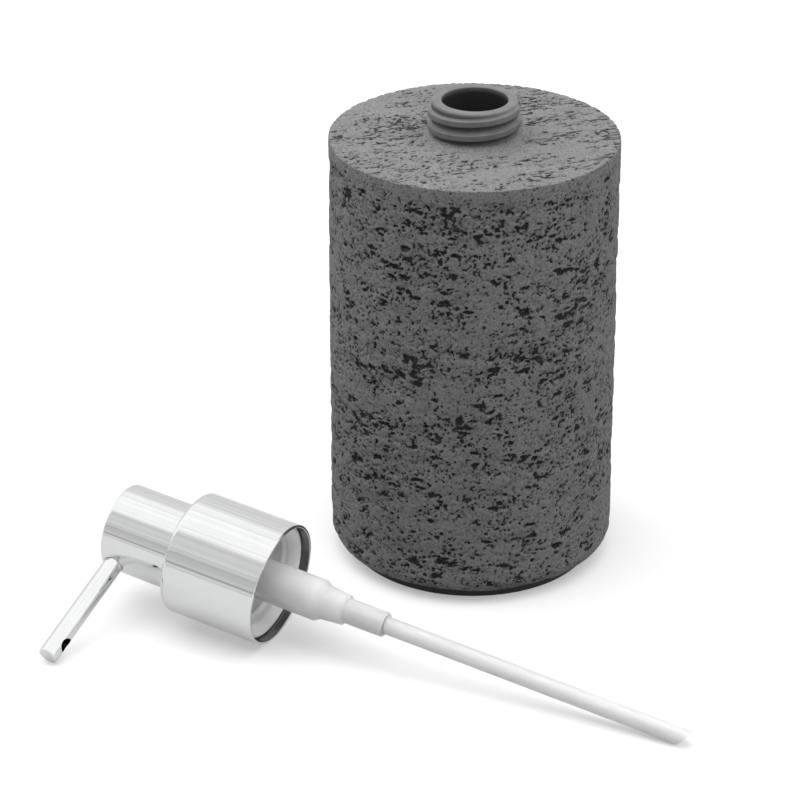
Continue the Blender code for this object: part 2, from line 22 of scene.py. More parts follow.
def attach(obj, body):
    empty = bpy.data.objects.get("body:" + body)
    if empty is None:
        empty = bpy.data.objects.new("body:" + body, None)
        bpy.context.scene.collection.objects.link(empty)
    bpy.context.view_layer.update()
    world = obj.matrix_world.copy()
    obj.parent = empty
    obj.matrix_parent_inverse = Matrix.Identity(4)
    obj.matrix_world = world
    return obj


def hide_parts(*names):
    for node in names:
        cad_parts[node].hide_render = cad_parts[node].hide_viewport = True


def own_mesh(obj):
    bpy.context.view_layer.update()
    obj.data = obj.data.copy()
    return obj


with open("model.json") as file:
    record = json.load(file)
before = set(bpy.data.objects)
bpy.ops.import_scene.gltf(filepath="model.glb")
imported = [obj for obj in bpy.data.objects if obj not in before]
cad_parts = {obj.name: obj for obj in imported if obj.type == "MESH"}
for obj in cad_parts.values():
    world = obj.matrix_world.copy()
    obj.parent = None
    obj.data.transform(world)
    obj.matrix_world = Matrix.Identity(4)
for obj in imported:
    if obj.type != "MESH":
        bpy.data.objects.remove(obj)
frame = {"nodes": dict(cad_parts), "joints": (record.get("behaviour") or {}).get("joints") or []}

LOG = logging.getLogger("soap_pump_dispenser")
MM = 0.001
MERGE = 1e-4  # points closer than this, in millimetres, become one
SUPPORT = 0.12  # how far from a rounding the point stands that keeps the face beside it flat
CREASE = 38.0  # edges that turn more than this, in degrees, stay sharp
Profile = list[tuple[float, float]]


class Slot(Enum):
    """The record's material slots."""

    STONE = "cast_stone"
    RUBBER = "dark_rubber"
    CHROME = "chrome_plate"
    WHITE = "white_plastic"
    FOAM = "gasket_foam"
    FROSTED = "frosted_plastic"
    TUBE = "tube_plastic"
    STEEL = "spring_steel"


class Body(Enum):
    """The bodies that pieces ride on."""

    BOTTLE = "bottle"
    PUMP = "pump_body"
    COLLAR = "collar"
    STEM = "stem"
    HEAD = "head"


# ---------------------------------------------------------------- finishes


class NodeKit:
    """A node tree while it is put together."""

    def __init__(self, tree: bpy.types.NodeTree) -> None:
        """Takes a tree.

        Args:
            tree: The tree that nodes are added to.
        """
        self.tree = tree

    def add(self, kind: str, inputs: dict[Any, Any], **settings: Any) -> bpy.types.Node:
        """Adds a node.

        Args:
            kind: The node's type, without its ShaderNode prefix.
            inputs: Values or sockets for its inputs, by name or number.
            **settings: The node's own properties.

        Returns:
            The new node.
        """
        node = self.tree.nodes.new("ShaderNode" + kind)
        for key, value in settings.items():
            setattr(node, key, value)
        self.feed(node, inputs)
        return node

    def feed(self, node: bpy.types.Node, inputs: dict[Any, Any]) -> None:
        """Sets or links a node's inputs.

        Args:
            node: The node.
            inputs: Values or sockets, by the input's name or number.
        """
        for key, value in inputs.items():
            if isinstance(value, bpy.types.NodeSocket):
                self.tree.links.new(value, node.inputs[key])
            else:
                node.inputs[key].default_value = value

    def place(self) -> bpy.types.NodeSocket:
        """The piece's own coordinates, in metres."""
        return self.add("TexCoord", {}).outputs["Object"]

    def noise(
        self, vector: bpy.types.NodeSocket, grain: float, detail: float = 2.0, rough: float = 0.5
    ) -> bpy.types.NodeSocket:
        """Soft cloudy noise.

        Args:
            vector: Where it is read.
            grain: Size of its clouds in millimetres.
            detail: How many finer layers it has.
            rough: How strong they are.

        Returns:
            Its value, from 0 to 1.
        """
        values = {"Vector": vector, "Scale": 1 / (grain * MM), "Detail": detail, "Roughness": rough}
        return self.add("TexNoise", values).outputs["Fac"]

    def ramp(
        self,
        value: bpy.types.NodeSocket,
        low: float,
        high: float,
        to_low: float = 0.0,
        to_high: float = 1.0,
    ) -> bpy.types.NodeSocket:
        """A value mapped from one range to another, and held at its ends.

        Args:
            value: The value read.
            low: Start of the range read.
            high: End of the range read.
            to_low: What low becomes.
            to_high: What high becomes.

        Returns:
            The mapped value.
        """
        values = {"Value": value, "From Min": low, "From Max": high}
        values |= {"To Min": to_low, "To Max": to_high}
        return self.add("MapRange", values).outputs["Result"]

    def math(self, operation: str, first: Any, second: Any) -> bpy.types.NodeSocket:
        """Result of a math operation on two values or sockets."""
        return self.add("Math", {0: first, 1: second}, operation=operation).outputs[0]

    def mix(self, share: Any, first: Any, second: Any) -> bpy.types.NodeSocket:
        """Two colours mixed by a share.

        Args:
            share: From 0, the first colour, to 1, the second.
            first: A colour or socket.
            second: A colour or socket.

        Returns:
            The mixed colour.
        """
        return self.add("Mix", {0: share, 6: first, 7: second}, data_type="RGBA").outputs[2]


class Recipe(NodeKit):
    """A material's node tree, round its Principled shader."""

    def __init__(self, name: str) -> None:
        """Starts a material with one Principled shader.

        Args:
            name: The material's name.
        """
        self.material = bpy.data.materials.new(name)
        self.material.use_nodes = True
        super().__init__(self.material.node_tree)
        self.shader = self.tree.nodes["Principled BSDF"]

    def bump(self, height: bpy.types.NodeSocket, distance: float, strength: float = 1.0) -> None:
        """Gives the shader a fine relief.

        Args:
            height: The relief, from 0 to 1.
            distance: Its depth in millimetres.
            strength: How much of it shows.
        """
        values = {"Height": height, "Distance": distance * MM, "Strength": strength}
        self.feed(self.shader, {"Normal": self.add("Bump", values).outputs["Normal"]})


def grey(level: float, warmth: float = 0.0) -> tuple[float, float, float, float]:
    """A linear grey, a little warmer or cooler than neutral."""
    return (level * (1 + warmth), level, level * (1 - warmth), 1.0)


@dataclass(frozen=True)
class StoneFinish:
    """Cast stone with a fine grain, with painted shade in its pits and specks."""

    name: str = "cast_stone_looks"
    tone: float = 0.128
    pit_shade_tone: float = 0.006
    cloud: float = 14.0
    mottle: float = 1.6
    grain: float = 0.28
    speck: float = 0.85
    crust: float = 0.7
    crumb: float = 3.5

    def material(self) -> bpy.types.Material:
        """The stone's material, which paints shade into the pits by the pieces' shade attribute."""
        recipe = Recipe(self.name)
        where = recipe.place()
        clouds = recipe.noise(where, self.cloud, 3.0, 0.6)
        mottle = recipe.noise(where, self.mottle, 4.0, 0.65)
        grain = recipe.noise(where, self.grain, 2.0, 0.7)
        light = recipe.mix(
            recipe.ramp(clouds, 0.3, 0.7), grey(self.tone * 0.86), grey(self.tone * 1.12)
        )
        light = recipe.mix(recipe.ramp(mottle, 0.38, 0.62, 0.0, 0.42), light, grey(self.tone * 0.62))
        crust = recipe.noise(where, self.crust, 3.0, 0.7)
        light = recipe.mix(recipe.ramp(crust, 0.47, 0.63, 0.0, 0.85), light, grey(self.tone * 0.28))
        light = recipe.mix(recipe.ramp(grain, 0.35, 0.75, 0.0, 0.55), light, grey(self.tone * 1.6))
        # painted shade: small specks, which the bump below presses in, are darkened like pits
        cells = recipe.add(
            "TexVoronoi", {"Vector": where, "Scale": 1 / (self.speck * MM), "Randomness": 1.0}
        )
        thick = recipe.noise(where, 5.0, 2.0)
        speck = recipe.ramp(cells.outputs["Distance"], 0.12, 0.26, 1.0, 0.0)
        speck = recipe.math("MULTIPLY", speck, recipe.ramp(thick, 0.48, 0.62))
        # painted shade: pits, from the pieces' shade attribute, and the specks go towards a near-black
        # floor with a few lighter crumbs
        painted_shade = recipe.add("Attribute", {}, attribute_name="painted_shade").outputs["Fac"]
        edge = recipe.math("ADD", painted_shade, recipe.ramp(grain, 0.3, 0.7, -0.08, 0.08))
        pit = recipe.ramp(edge, 0.34, 0.6, 0.0, 1.0)
        pit = recipe.math("ADD", pit, recipe.ramp(edge, 0.04, 0.4, 0.0, 0.3))
        dark = recipe.math("MAXIMUM", recipe.math("MULTIPLY", speck, 0.8), pit)
        crumbs = grey(self.pit_shade_tone * self.crumb)
        floor = recipe.mix(recipe.ramp(crust, 0.42, 0.56), crumbs, grey(self.pit_shade_tone))
        recipe.feed(
            recipe.shader,
            {
                "Base Color": recipe.mix(dark, light, floor),
                "Roughness": recipe.ramp(grain, 0.3, 0.7, 0.78, 0.95),
                "Specular IOR Level": 0.35,
            },
        )
        waves, dents = recipe.math("MULTIPLY", mottle, 1.4), recipe.math("MULTIPLY", crust, 1.6)
        relief = recipe.math("SUBTRACT", waves, dents)
        relief = recipe.math("ADD", recipe.math("MULTIPLY", grain, 0.6), relief)
        recipe.bump(recipe.math("SUBTRACT", relief, recipe.math("MULTIPLY", speck, 2.0)), 0.2, 1.0)
        return recipe.material


@dataclass(frozen=True)
class NeckFinish:
    """The same stone mix, moulded smooth on the neck."""

    name: str = "moulded_neck_looks"
    tone: float = 0.112

    def material(self) -> bpy.types.Material:
        """The neck's material, with painted shade from the pieces' shade attribute."""
        recipe = Recipe(self.name)
        where = recipe.place()
        clouds = recipe.noise(where, 4.0, 3.0, 0.6)
        grain = recipe.noise(where, 0.3, 2.0, 0.6)
        light = recipe.mix(
            recipe.ramp(clouds, 0.35, 0.65), grey(self.tone * 0.88), grey(self.tone * 1.1)
        )
        # painted shade: the shade attribute darkens the grooves and the bore
        painted_shade = recipe.add("Attribute", {}, attribute_name="painted_shade").outputs["Fac"]
        recipe.feed(
            recipe.shader,
            {
                "Base Color": recipe.mix(painted_shade, light, grey(self.tone * 0.12)),
                "Roughness": recipe.ramp(grain, 0.3, 0.7, 0.5, 0.66),
            },
        )
        recipe.bump(grain, 0.03, 0.5)
        return recipe.material


@dataclass(frozen=True)
class MetalFinish:
    """Bright metal whose polish varies a little from place to place."""

    name: str
    tone: float = 0.80
    polish: float = 0.035
    haze: float = 0.09
    smear: float = 9.0

    def material(self) -> bpy.types.Material:
        """The metal's material."""
        recipe = Recipe(self.name)
        where = recipe.place()
        smears = recipe.noise(where, self.smear, 5.0, 0.65)
        fine = recipe.noise(where, 0.6, 2.0, 0.5)
        wide, close = recipe.math("MULTIPLY", smears, 0.8), recipe.math("MULTIPLY", fine, 0.2)
        rough_patches = recipe.math("ADD", wide, close)
        clean, dull = grey(self.tone, -0.004), grey(self.tone * 0.965, -0.008)
        recipe.feed(
            recipe.shader,
            {
                "Base Color": recipe.mix(recipe.ramp(smears, 0.35, 0.7), clean, dull),
                "Roughness": recipe.ramp(rough_patches, 0.4, 0.7, self.polish, self.haze),
                "Metallic": 1.0,
            },
        )
        return recipe.material


@dataclass(frozen=True)
class PlasticFinish:
    """Moulded or extruded plastic, solid or letting light through."""

    name: str
    tone: float
    rough: float = 0.36
    through: float = 0.0
    inner: float = 0.0
    depth: float = 1.2
    texture: float = 0.25
    relief: float = 0.015

    def material(self) -> bpy.types.Material:
        """The plastic's material."""
        recipe = Recipe(self.name)
        where = recipe.place()
        clouds = recipe.noise(where, 6.0, 3.0, 0.55)
        fine = recipe.noise(where, self.texture, 2.0, 0.6)
        recipe.feed(
            recipe.shader,
            {
                "Base Color": recipe.mix(
                    recipe.ramp(clouds, 0.35, 0.65), grey(self.tone * 0.965, -0.003), grey(self.tone)
                ),
                "Roughness": recipe.ramp(fine, 0.3, 0.7, self.rough * 0.88, self.rough * 1.15),
                "Transmission Weight": self.through,
                "Subsurface Weight": self.inner,
                "Subsurface Radius": (1.0, 1.0, 1.0),
                "Subsurface Scale": self.depth * MM,
                "IOR": 1.46,
            },
        )
        recipe.bump(fine, self.relief, 0.6)
        return recipe.material


# ------------------------------------------------------------------ shapes


def arc(centre: tuple[float, float], radius: float, start: float, end: float, steps: int) -> Profile:
    """Points of a profile arc between two angles in degrees.

    Args:
        centre: Its centre, as radius and height.
        radius: Its radius.
        start: Angle of its first point.
        end: Angle of its last point.
        steps: Number of its straight pieces.

    Returns:
        Its points.
    """
    turns = [math.radians(start + (end - start) * step / steps) for step in range(steps + 1)]
    return [(centre[0] + radius * math.cos(t), centre[1] + radius * math.sin(t)) for t in turns]


def softened(profile: Profile, radius: float, ring: bool = True, steps: int = 3) -> Profile:
    """A profile with each of its corners rounded off.

    Args:
        profile: Its corners.
        radius: Radius of the rounding, less where an edge is short.
        ring: Whether its ends join.
        steps: Straight pieces of each rounding.

    Returns:
        The rounded profile, with a point just outside each rounding.
    """
    made: Profile = []
    count = len(profile)
    for index, corner in enumerate(profile):
        if not ring and index in (0, count - 1):
            made.append(corner)
            continue
        here = Vector(corner)
        back = Vector(profile[index - 1]) - here
        ahead = Vector(profile[(index + 1) % count]) - here
        turn = math.pi - back.angle(ahead)
        if turn < math.radians(18):
            made.append(corner)
            continue
        reach = min(radius * math.tan(turn / 2), 0.42 * back.length, 0.42 * ahead.length)
        rounding = reach / math.tan(turn / 2)
        first = here + back.normalized() * reach
        last = here + ahead.normalized() * reach
        middle = here + (back.normalized() + ahead.normalized()).normalized() * (
            rounding / math.cos(turn / 2)
        )
        if back.length * 0.5 > reach + SUPPORT:
            made.append(tuple(first + back.normalized() * SUPPORT))
        angle = math.atan2(*(first - middle).yx)
        sweep = math.atan2(*(last - middle).yx) - angle
        sweep = (sweep + math.pi) % (2 * math.pi) - math.pi
        for step in range(steps + 1):
            at = angle + sweep * step / steps
            made.append((middle.x + rounding * math.cos(at), middle.y + rounding * math.sin(at)))
        if ahead.length * 0.5 > reach + SUPPORT:
            made.append(tuple(last + ahead.normalized() * SUPPORT))
    return made


def spun_shape(profile: Profile, sides: int, ring: bool = True) -> bmesh.types.BMesh:
    """A profile spun a full turn about the Z axis.

    Args:
        profile: Radius and height of its points.
        sides: Number of sides of the round.
        ring: Whether the profile is closed, clear of the axis.

    Returns:
        The closed shape, in millimetres.
    """
    shape = bmesh.new()
    verts = [shape.verts.new((radius, 0.0, height)) for radius, height in profile]
    edges = [shape.edges.new(pair) for pair in zip(verts, verts[1:])]
    if ring:
        edges.append(shape.edges.new((verts[-1], verts[0])))
    bmesh.ops.spin(
        shape,
        geom=verts + edges,
        cent=(0.0, 0.0, 0.0),
        axis=(0.0, 0.0, 1.0),
        dvec=(0.0, 0.0, 0.0),
        angle=2 * math.pi,
        steps=sides,
        use_merge=True,
        use_normal_flip=False,
        use_duplicate=False,
    )
    bmesh.ops.remove_doubles(shape, verts=shape.verts, dist=MERGE)
    bmesh.ops.recalc_face_normals(shape, faces=shape.faces)
    return shape


def rolled_shape(profile: Profile, sides: int) -> bmesh.types.BMesh:
    """A fine grid rolled into a ring about the Z axis, and closed along both seams.

    Args:
        profile: Radius and height of the points of its closed section.
        sides: Number of sides of the round.

    Returns:
        The closed shape, in millimetres.
    """
    shape = bmesh.new()
    rows = len(profile)
    bmesh.ops.create_grid(shape, x_segments=sides, y_segments=rows, size=0.5)
    for vert in shape.verts:
        turn = 2 * math.pi * round((vert.co.x + 0.5) * sides) / sides
        radius, height = profile[round((vert.co.y + 0.5) * rows) % rows]
        vert.co = (radius * math.cos(turn), radius * math.sin(turn), height)
    bmesh.ops.remove_doubles(shape, verts=shape.verts, dist=MERGE)
    bmesh.ops.recalc_face_normals(shape, faces=shape.faces)
    return shape


def as_object(
    name: str, shape: bmesh.types.BMesh, place: Matrix, crease: float = CREASE
) -> bpy.types.Object:
    """Turns a finished shape into an object at the origin.

    Args:
        name: The piece's name.
        shape: The shape in millimetres, which is freed.
        place: The piece's place in the frame, in metres.
        crease: Angle in degrees above which an edge stays sharp.

    Returns:
        The object, with its place in its mesh.
    """
    shape.transform(place @ Matrix.Scale(MM, 4))
    mesh = bpy.data.meshes.new(name)
    shape.to_mesh(mesh)
    shape.free()
    mesh.shade_smooth()
    mesh.set_sharp_from_angle(angle=math.radians(crease))
    made = bpy.data.objects.new(name, mesh)
    bpy.context.scene.collection.objects.link(made)
    return made


def turned(
    name: str, profile: Profile, sides: int, place: Matrix, ring: bool = True, crease: float = CREASE
) -> bpy.types.Object:
    """A turned piece.

    Args:
        name: The piece's name.
        profile: Radius and height of its points, in millimetres.
        sides: Number of sides of the round.
        place: The piece's place in the frame.
        ring: Whether the profile is closed, clear of the axis.
        crease: Angle in degrees above which an edge stays sharp.

    Returns:
        The piece.
    """
    return as_object(name, spun_shape(profile, sides, ring), place, crease)


def carved(obj: bpy.types.Object, tool: bpy.types.Object) -> None:
    """Cuts one object's shape out of another's mesh for good.

    Args:
        obj: What is cut.
        tool: What cuts it, which is removed.
    """
    cut = obj.modifiers.new("cut", "BOOLEAN")
    cut.operation = "DIFFERENCE"
    cut.object = tool
    cut.solver = "EXACT"
    bpy.context.view_layer.update()
    graph = bpy.context.evaluated_depsgraph_get()
    mesh = bpy.data.meshes.new_from_object(obj.evaluated_get(graph))
    obj.modifiers.clear()
    obj.data = mesh
    mesh.shade_smooth()
    mesh.set_sharp_from_angle(angle=math.radians(CREASE))
    bpy.data.objects.remove(tool, do_unlink=True)


def points_of(mesh: bpy.types.Mesh) -> np.ndarray:
    """A mesh's points, in millimetres."""
    co = np.zeros(len(mesh.vertices) * 3)
    mesh.vertices.foreach_get("co", co)
    return co.reshape(-1, 3) / MM


def shaded_points(mesh: bpy.types.Mesh, co: np.ndarray, dark: np.ndarray, crease: float) -> None:
    """Moves a mesh's points and writes the shade painted into its hollows.

    Args:
        mesh: The mesh.
        co: Its points, in millimetres.
        dark: The painted shade of each point, from 0 to 1.
        crease: Angle in degrees above which an edge stays sharp.
    """
    mesh.vertices.foreach_set("co", (co * MM).ravel())
    painted_shade = mesh.attributes.new("painted_shade", "FLOAT", "POINT")
    painted_shade.data.foreach_set("value", dark.astype(np.float32))
    mesh.update()
    mesh.set_sharp_from_angle(angle=math.radians(crease))


def dressed(
    obj: bpy.types.Object, material: bpy.types.Material, body: Body, slot: Slot, *replaced: str
) -> bpy.types.Object:
    """Gives a piece its material and its body, and hides the CAD nodes that it stands for.

    Args:
        obj: The piece, in place.
        material: Its material.
        body: The body that it rides on.
        slot: The record's material slot; not used.
        *replaced: CAD nodes that it replaces.

    Returns:
        The piece.
    """
    obj.data.materials.clear()
    obj.data.materials.append(material)
    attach(obj, body.value)
    if replaced:
        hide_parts(*replaced)
    LOG.info("%s: %d faces", obj.name, len(obj.data.polygons))
    return obj


def painted(node: str, material: bpy.types.Material) -> None:
    """Gives a CAD node that stays its material."""
    obj = frame["nodes"][node]
    if not obj.material_slots:
        obj.data.materials.append(material)
    for slot in obj.material_slots:
        slot.material = material
    LOG.info("%s: kept", node)


# ------------------------------------------------------------ stone relief


@dataclass
class Relief:
    """A map of how deep an unrolled stone surface is, and of the shade painted into its hollows."""

    width: float
    height: float
    cell: float
    depth: np.ndarray = field(init=False)
    shade: np.ndarray = field(init=False)
    wobble: np.ndarray = field(init=False)

    def __post_init__(self) -> None:
        """Starts the map flat and pale."""
        size = (round(self.width / self.cell), round(self.height / self.cell))
        self.depth = np.zeros(size)
        self.shade = np.zeros(size)
        self.wobble = np.zeros(size)

    def cloud(self, rng: np.random.Generator, across: float, up: float) -> np.ndarray:
        """Smooth noise from -1 to 1 over the map, which joins up across its width.

        Args:
            rng: Source of its random numbers.
            across: Size of its clouds across the map.
            up: Their size up the map.

        Returns:
            The noise, one value for each cell.
        """
        wide = max(2, round(self.width / across))
        high = max(2, math.ceil(self.height / up))
        table = rng.uniform(-1, 1, (wide, high + 2))
        u = np.arange(self.depth.shape[0]) * wide / self.depth.shape[0]
        v = np.arange(self.depth.shape[1]) * high / self.depth.shape[1]
        left, low = u.astype(int), v.astype(int)
        a, b = (u - left)[:, None], (v - low)[None, :]
        a, b = a * a * (3 - 2 * a), b * b * (3 - 2 * b)
        right = (left + 1) % wide
        near = table[np.ix_(left, low)] * (1 - a) + table[np.ix_(right, low)] * a
        far = table[np.ix_(left, low + 1)] * (1 - a) + table[np.ix_(right, low + 1)] * a
        return near * (1 - b) + far * b

    def clouds(self, rng: np.random.Generator, across: float, up: float, layers: int) -> np.ndarray:
        """Noise of several layers, each half the size and strength of the last.

        Args:
            rng: Source of its random numbers.
            across: Size of the first layer's clouds across the map.
            up: Their size up the map.
            layers: Number of layers.

        Returns:
            The noise.
        """
        parts = [self.cloud(rng, across / 2**n, up / 2**n) / 2**n for n in range(layers)]
        return np.sum(parts, axis=0)

    def pit(
        self,
        at: Sequence[float],
        half: Sequence[float],
        depth: float,
        shade: float,
        turn: float = 0.0,
        wall: float = 0.45,
    ) -> None:
        """Presses one pit into the map, with painted shade on its floor.

        Args:
            at: Its centre.
            half: Half its length and half its width.
            depth: How deep it is.
            shade: How dark the painted shade on its floor is, from 0 to 1.
            turn: Angle of its length to the map's width, in radians.
            wall: Share of its radius that its wall takes.
        """
        reach = max(half) * 1.35
        wide, high = self.depth.shape
        i = np.arange(
            math.floor((at[0] - reach) / self.cell),
            math.ceil((at[0] + reach) / self.cell) + 1,
        )
        j = np.arange(
            max(0, math.floor((at[1] - reach) / self.cell)),
            min(high - 1, math.ceil((at[1] + reach) / self.cell)) + 1,
        )
        if not len(j):
            return
        x = (i * self.cell - at[0])[:, None]
        y = (j * self.cell - at[1])[None, :]
        along = (x * math.cos(turn) + y * math.sin(turn)) / half[0]
        across = (y * math.cos(turn) - x * math.sin(turn)) / half[1]
        cells = np.ix_(i % wide, j)
        inside = np.clip((1 - np.hypot(along, across) + 0.28 * self.wobble[cells]) / wall, 0, 1)
        inside = inside * inside * (3 - 2 * inside)
        self.depth[cells] = np.maximum(self.depth[cells], depth * inside)
        self.shade[cells] = np.maximum(self.shade[cells], shade * inside)

    def read(self, table: np.ndarray, x: np.ndarray, y: np.ndarray) -> np.ndarray:
        """Values of one of the maps at points, smoothly between its cells.

        Args:
            table: The depth or the shade map.
            x: Where across the map.
            y: Where up the map.

        Returns:
            The values.
        """
        wide, high = table.shape
        u = x / self.cell
        v = np.clip(y / self.cell, 0, high - 1.001)
        i, j = np.floor(u).astype(int), np.floor(v).astype(int)
        a, b = u - i, v - j
        i, k = i % wide, (i + 1) % wide
        near = table[i, j] * (1 - a) + table[k, j] * a
        far = table[i, j + 1] * (1 - a) + table[k, j + 1] * a
        return near * (1 - b) + far * b


@dataclass
class StoneBottle:
    """The cast bottle: its pitted wall and top, its moulded neck, its pad."""

    radius: float = 42.7
    top: float = 133.2
    underside: float = 2.6
    foot_round: float = 6.0
    edge_round: float = 0.6
    sawn_turn: float = 46.9
    cavity_radius: float = 36.2
    cavity_top: float = 125.2
    cavity_floor: float = 4.9
    ledge_radius: float = 33.7
    slab_joint: float = 129.0
    pad_radius: float = 36.7
    pad_top: float = 2.3
    neck_top: float = 144.17
    neck_radius: float = 12.6
    neck_bore: float = 9.7
    neck_root: float = 12.3
    rim_round: float = 0.6
    bore_round: float = 0.3
    mound_reach: float = 3.6
    mound_height: float = 1.3
    thread_pitch: float = 4.3
    thread_height: float = 1.05
    thread_crest: float = 1.5
    thread_flank: float = 0.8
    thread_base: float = 133.56
    thread_first: float = 0.42
    thread_last: float = 2.08
    thread_fade: float = 0.08
    sides: int = 880
    row: float = 0.33
    bands: int = 4
    seed: int = 7
    top_seed: int = 11
    map_cell: float = 0.2
    belt_depth: float = 12.0
    belt_width: float = 8.0
    calm_edge: float = 3.0
    pores_tried: int = 56000
    pore_radius: float = 0.31
    pore_step: float = 2.0
    pore_share: float = 0.72
    marks_tried: int = 9000
    hollows: int = 9
    rim_steps: int = 720
    rim_chips: int = 110
    top_patches: tuple[tuple[float, float, float, float, float], ...] = (
        (27.0, 60.0, 13.0, 10.0, 1.1),
        (66.0, 50.0, 15.0, 14.0, 0.45),
        (12.0, 38.0, 12.0, 9.0, 0.45),
        (38.0, 24.0, 10.0, 8.0, 0.3),
    )
    side_map: Relief = field(init=False)
    top_map: Relief = field(init=False)
    chips: np.ndarray = field(init=False)

    def build(
        self,
        stone: bpy.types.Material,
        sawn: bpy.types.Material,
        neck: bpy.types.Material,
        rubber: bpy.types.Material,
    ) -> None:
        """Builds and dresses the bottle's pieces.

        Args:
            stone: Material of the wall.
            sawn: Material of the top, the wall's stone painted lighter as painted light from above.
            neck: Material of the neck.
            rubber: Material of the pad.
        """
        rng = np.random.default_rng(self.seed)
        self.side_map = self.side_relief(rng)
        self.top_map = self.top_relief(np.random.default_rng(self.top_seed))
        self.chips = self.edge_chips(rng)
        low = -self.foot_round * math.pi / 2
        high = self.top - self.edge_round - self.foot_centre()
        for band in range(self.bands):
            ends = [low + (high - low) * (band + side) / self.bands for side in (0, 1)]
            piece = self.wall_band(f"stone_wall_{band + 1}", *ends)
            dressed(piece, stone, Body.BOTTLE, Slot.STONE)
        dressed(self.slab(), sawn, Body.BOTTLE, Slot.STONE)
        dressed(self.neck(), neck, Body.BOTTLE, Slot.STONE, "bottle_body")
        dressed(self.pad(), rubber, Body.BOTTLE, Slot.RUBBER, "anti_slip_pad")

    def foot_centre(self) -> float:
        """Height of the centre of the foot's rounding."""
        return self.underside + self.foot_round

    def around(self) -> float:
        """Length round the wall."""
        return 2 * math.pi * self.radius

    def side_relief(self, rng: np.random.Generator) -> Relief:
        """The wall's relief and its painted shade: wavy bands of merged pores between smoother stone.

        Args:
            rng: Source of its random numbers.

        Returns:
            The relief, whose height starts at the foot's edge.
        """
        tall = self.foot_round * math.pi / 2 + self.top - self.foot_centre()
        made = Relief(self.around(), tall, self.map_cell)
        made.wobble = made.clouds(rng, 1.1, 0.8, 2)
        lift = 10.0 * made.cloud(rng, 90.0, 45.0)
        band = made.clouds(rng, 75.0, 10.0, 2) + 0.35 * made.cloud(rng, 22.0, 3.0)
        shifted = np.clip(np.arange(band.shape[1])[None, :] + lift / made.cell, 0, band.shape[1] - 1)
        band = np.take_along_axis(band, shifted.astype(int), axis=1)
        chain = made.clouds(rng, 4.2, 2.6, 3)
        from_top = tall - np.arange(band.shape[1])[None, :] * made.cell
        calm = np.clip((from_top - self.calm_edge) / 3.0, 0, 1)
        band = band + 0.6 * np.exp(-(((from_top - self.belt_depth) / self.belt_width) ** 2))
        rate = calm / (1 + np.exp(-(1.2 * band + 3.4 * chain - 0.75)))
        rough_patches = np.clip(band * 0.8 + 0.9 * made.clouds(rng, 9.0, 3.2, 2) + 0.15, 0, 1) * calm
        fine = np.clip(made.clouds(rng, 1.3, 0.9, 2), 0, 1)
        made.depth += 0.10 + 0.36 * rough_patches + 0.05 * made.cloud(rng, 14.0, 9.0)
        made.depth += (0.16 + 0.3 * rough_patches) * fine
        # painted shade: darker where the rough patches and fine dents sink the stone
        made.shade += 0.12 * fine + 0.06 * rough_patches + 0.4 * rough_patches * fine
        self.scatter(made, rng, rate)
        self.sprinkle(made, rng)
        return made

    def scatter(self, made: Relief, rng: np.random.Generator, rate: np.ndarray) -> None:
        """Adds the pores that merge into chains, and the larger hollows.

        Args:
            made: The wall's relief.
            rng: Source of the random numbers.
            rate: Share of the pores tried that are made, for each cell.
        """
        tried = self.pores_tried
        xs, ys = rng.uniform(0, made.width, tried), rng.uniform(0, made.height, tried)
        lot, size = rng.uniform(0, 1, tried), rng.lognormal(0, 0.34, tried)
        deep, long = rng.uniform(0.35, 1.0, tried), rng.uniform(0.8, 1.4, tried)
        cells = rate[
            np.minimum((xs / made.cell).astype(int), rate.shape[0] - 1),
            np.minimum((ys / made.cell).astype(int), rate.shape[1] - 1),
        ]
        # painted shade: each pore and hollow is painted darker on its floor, the deeper ones darker
        for n in np.flatnonzero(lot < cells):
            radius = min(self.pore_radius * size[n], 0.8)
            half = (radius * long[n], radius)
            column, line = int(xs[n] / made.cell), int(ys[n] / made.cell)
            base = made.depth[column % made.depth.shape[0], line % made.depth.shape[1]]
            made.pit((xs[n], ys[n]), half, min(base + 0.75 * deep[n], 1.25), 0.35 + 0.65 * deep[n])
        for n in np.flatnonzero((lot < cells - 0.62) & (size > 1.05)):
            half = (rng.uniform(0.8, 2.1), rng.uniform(0.4, 0.85))
            deepest, darkest = rng.uniform(0.6, 1.2), rng.uniform(0.7, 1.0)
            made.pit((xs[n], ys[n]), half, deepest, darkest, rng.uniform(-0.25, 0.25))

    def sprinkle(self, made: Relief, rng: np.random.Generator) -> None:
        """Adds the single round pores that are spread evenly over the wall.

        Args:
            made: The wall's relief.
            rng: Source of the random numbers.
        """
        step = self.pore_step
        for x in np.arange(0, made.width, step):
            for y in np.arange(0, made.height, step):
                jitter = rng.uniform(-0.42, 0.42, 2) * step
                radius, keep = rng.uniform(0.18, 0.38), rng.uniform()
                if keep < self.pore_share:
                    at = (x + jitter[0], y + jitter[1])
                    # painted shade: each round pore is painted dark on its floor
                    made.pit(at, (radius, radius), 0.5 + radius, rng.uniform(0.6, 1.0))

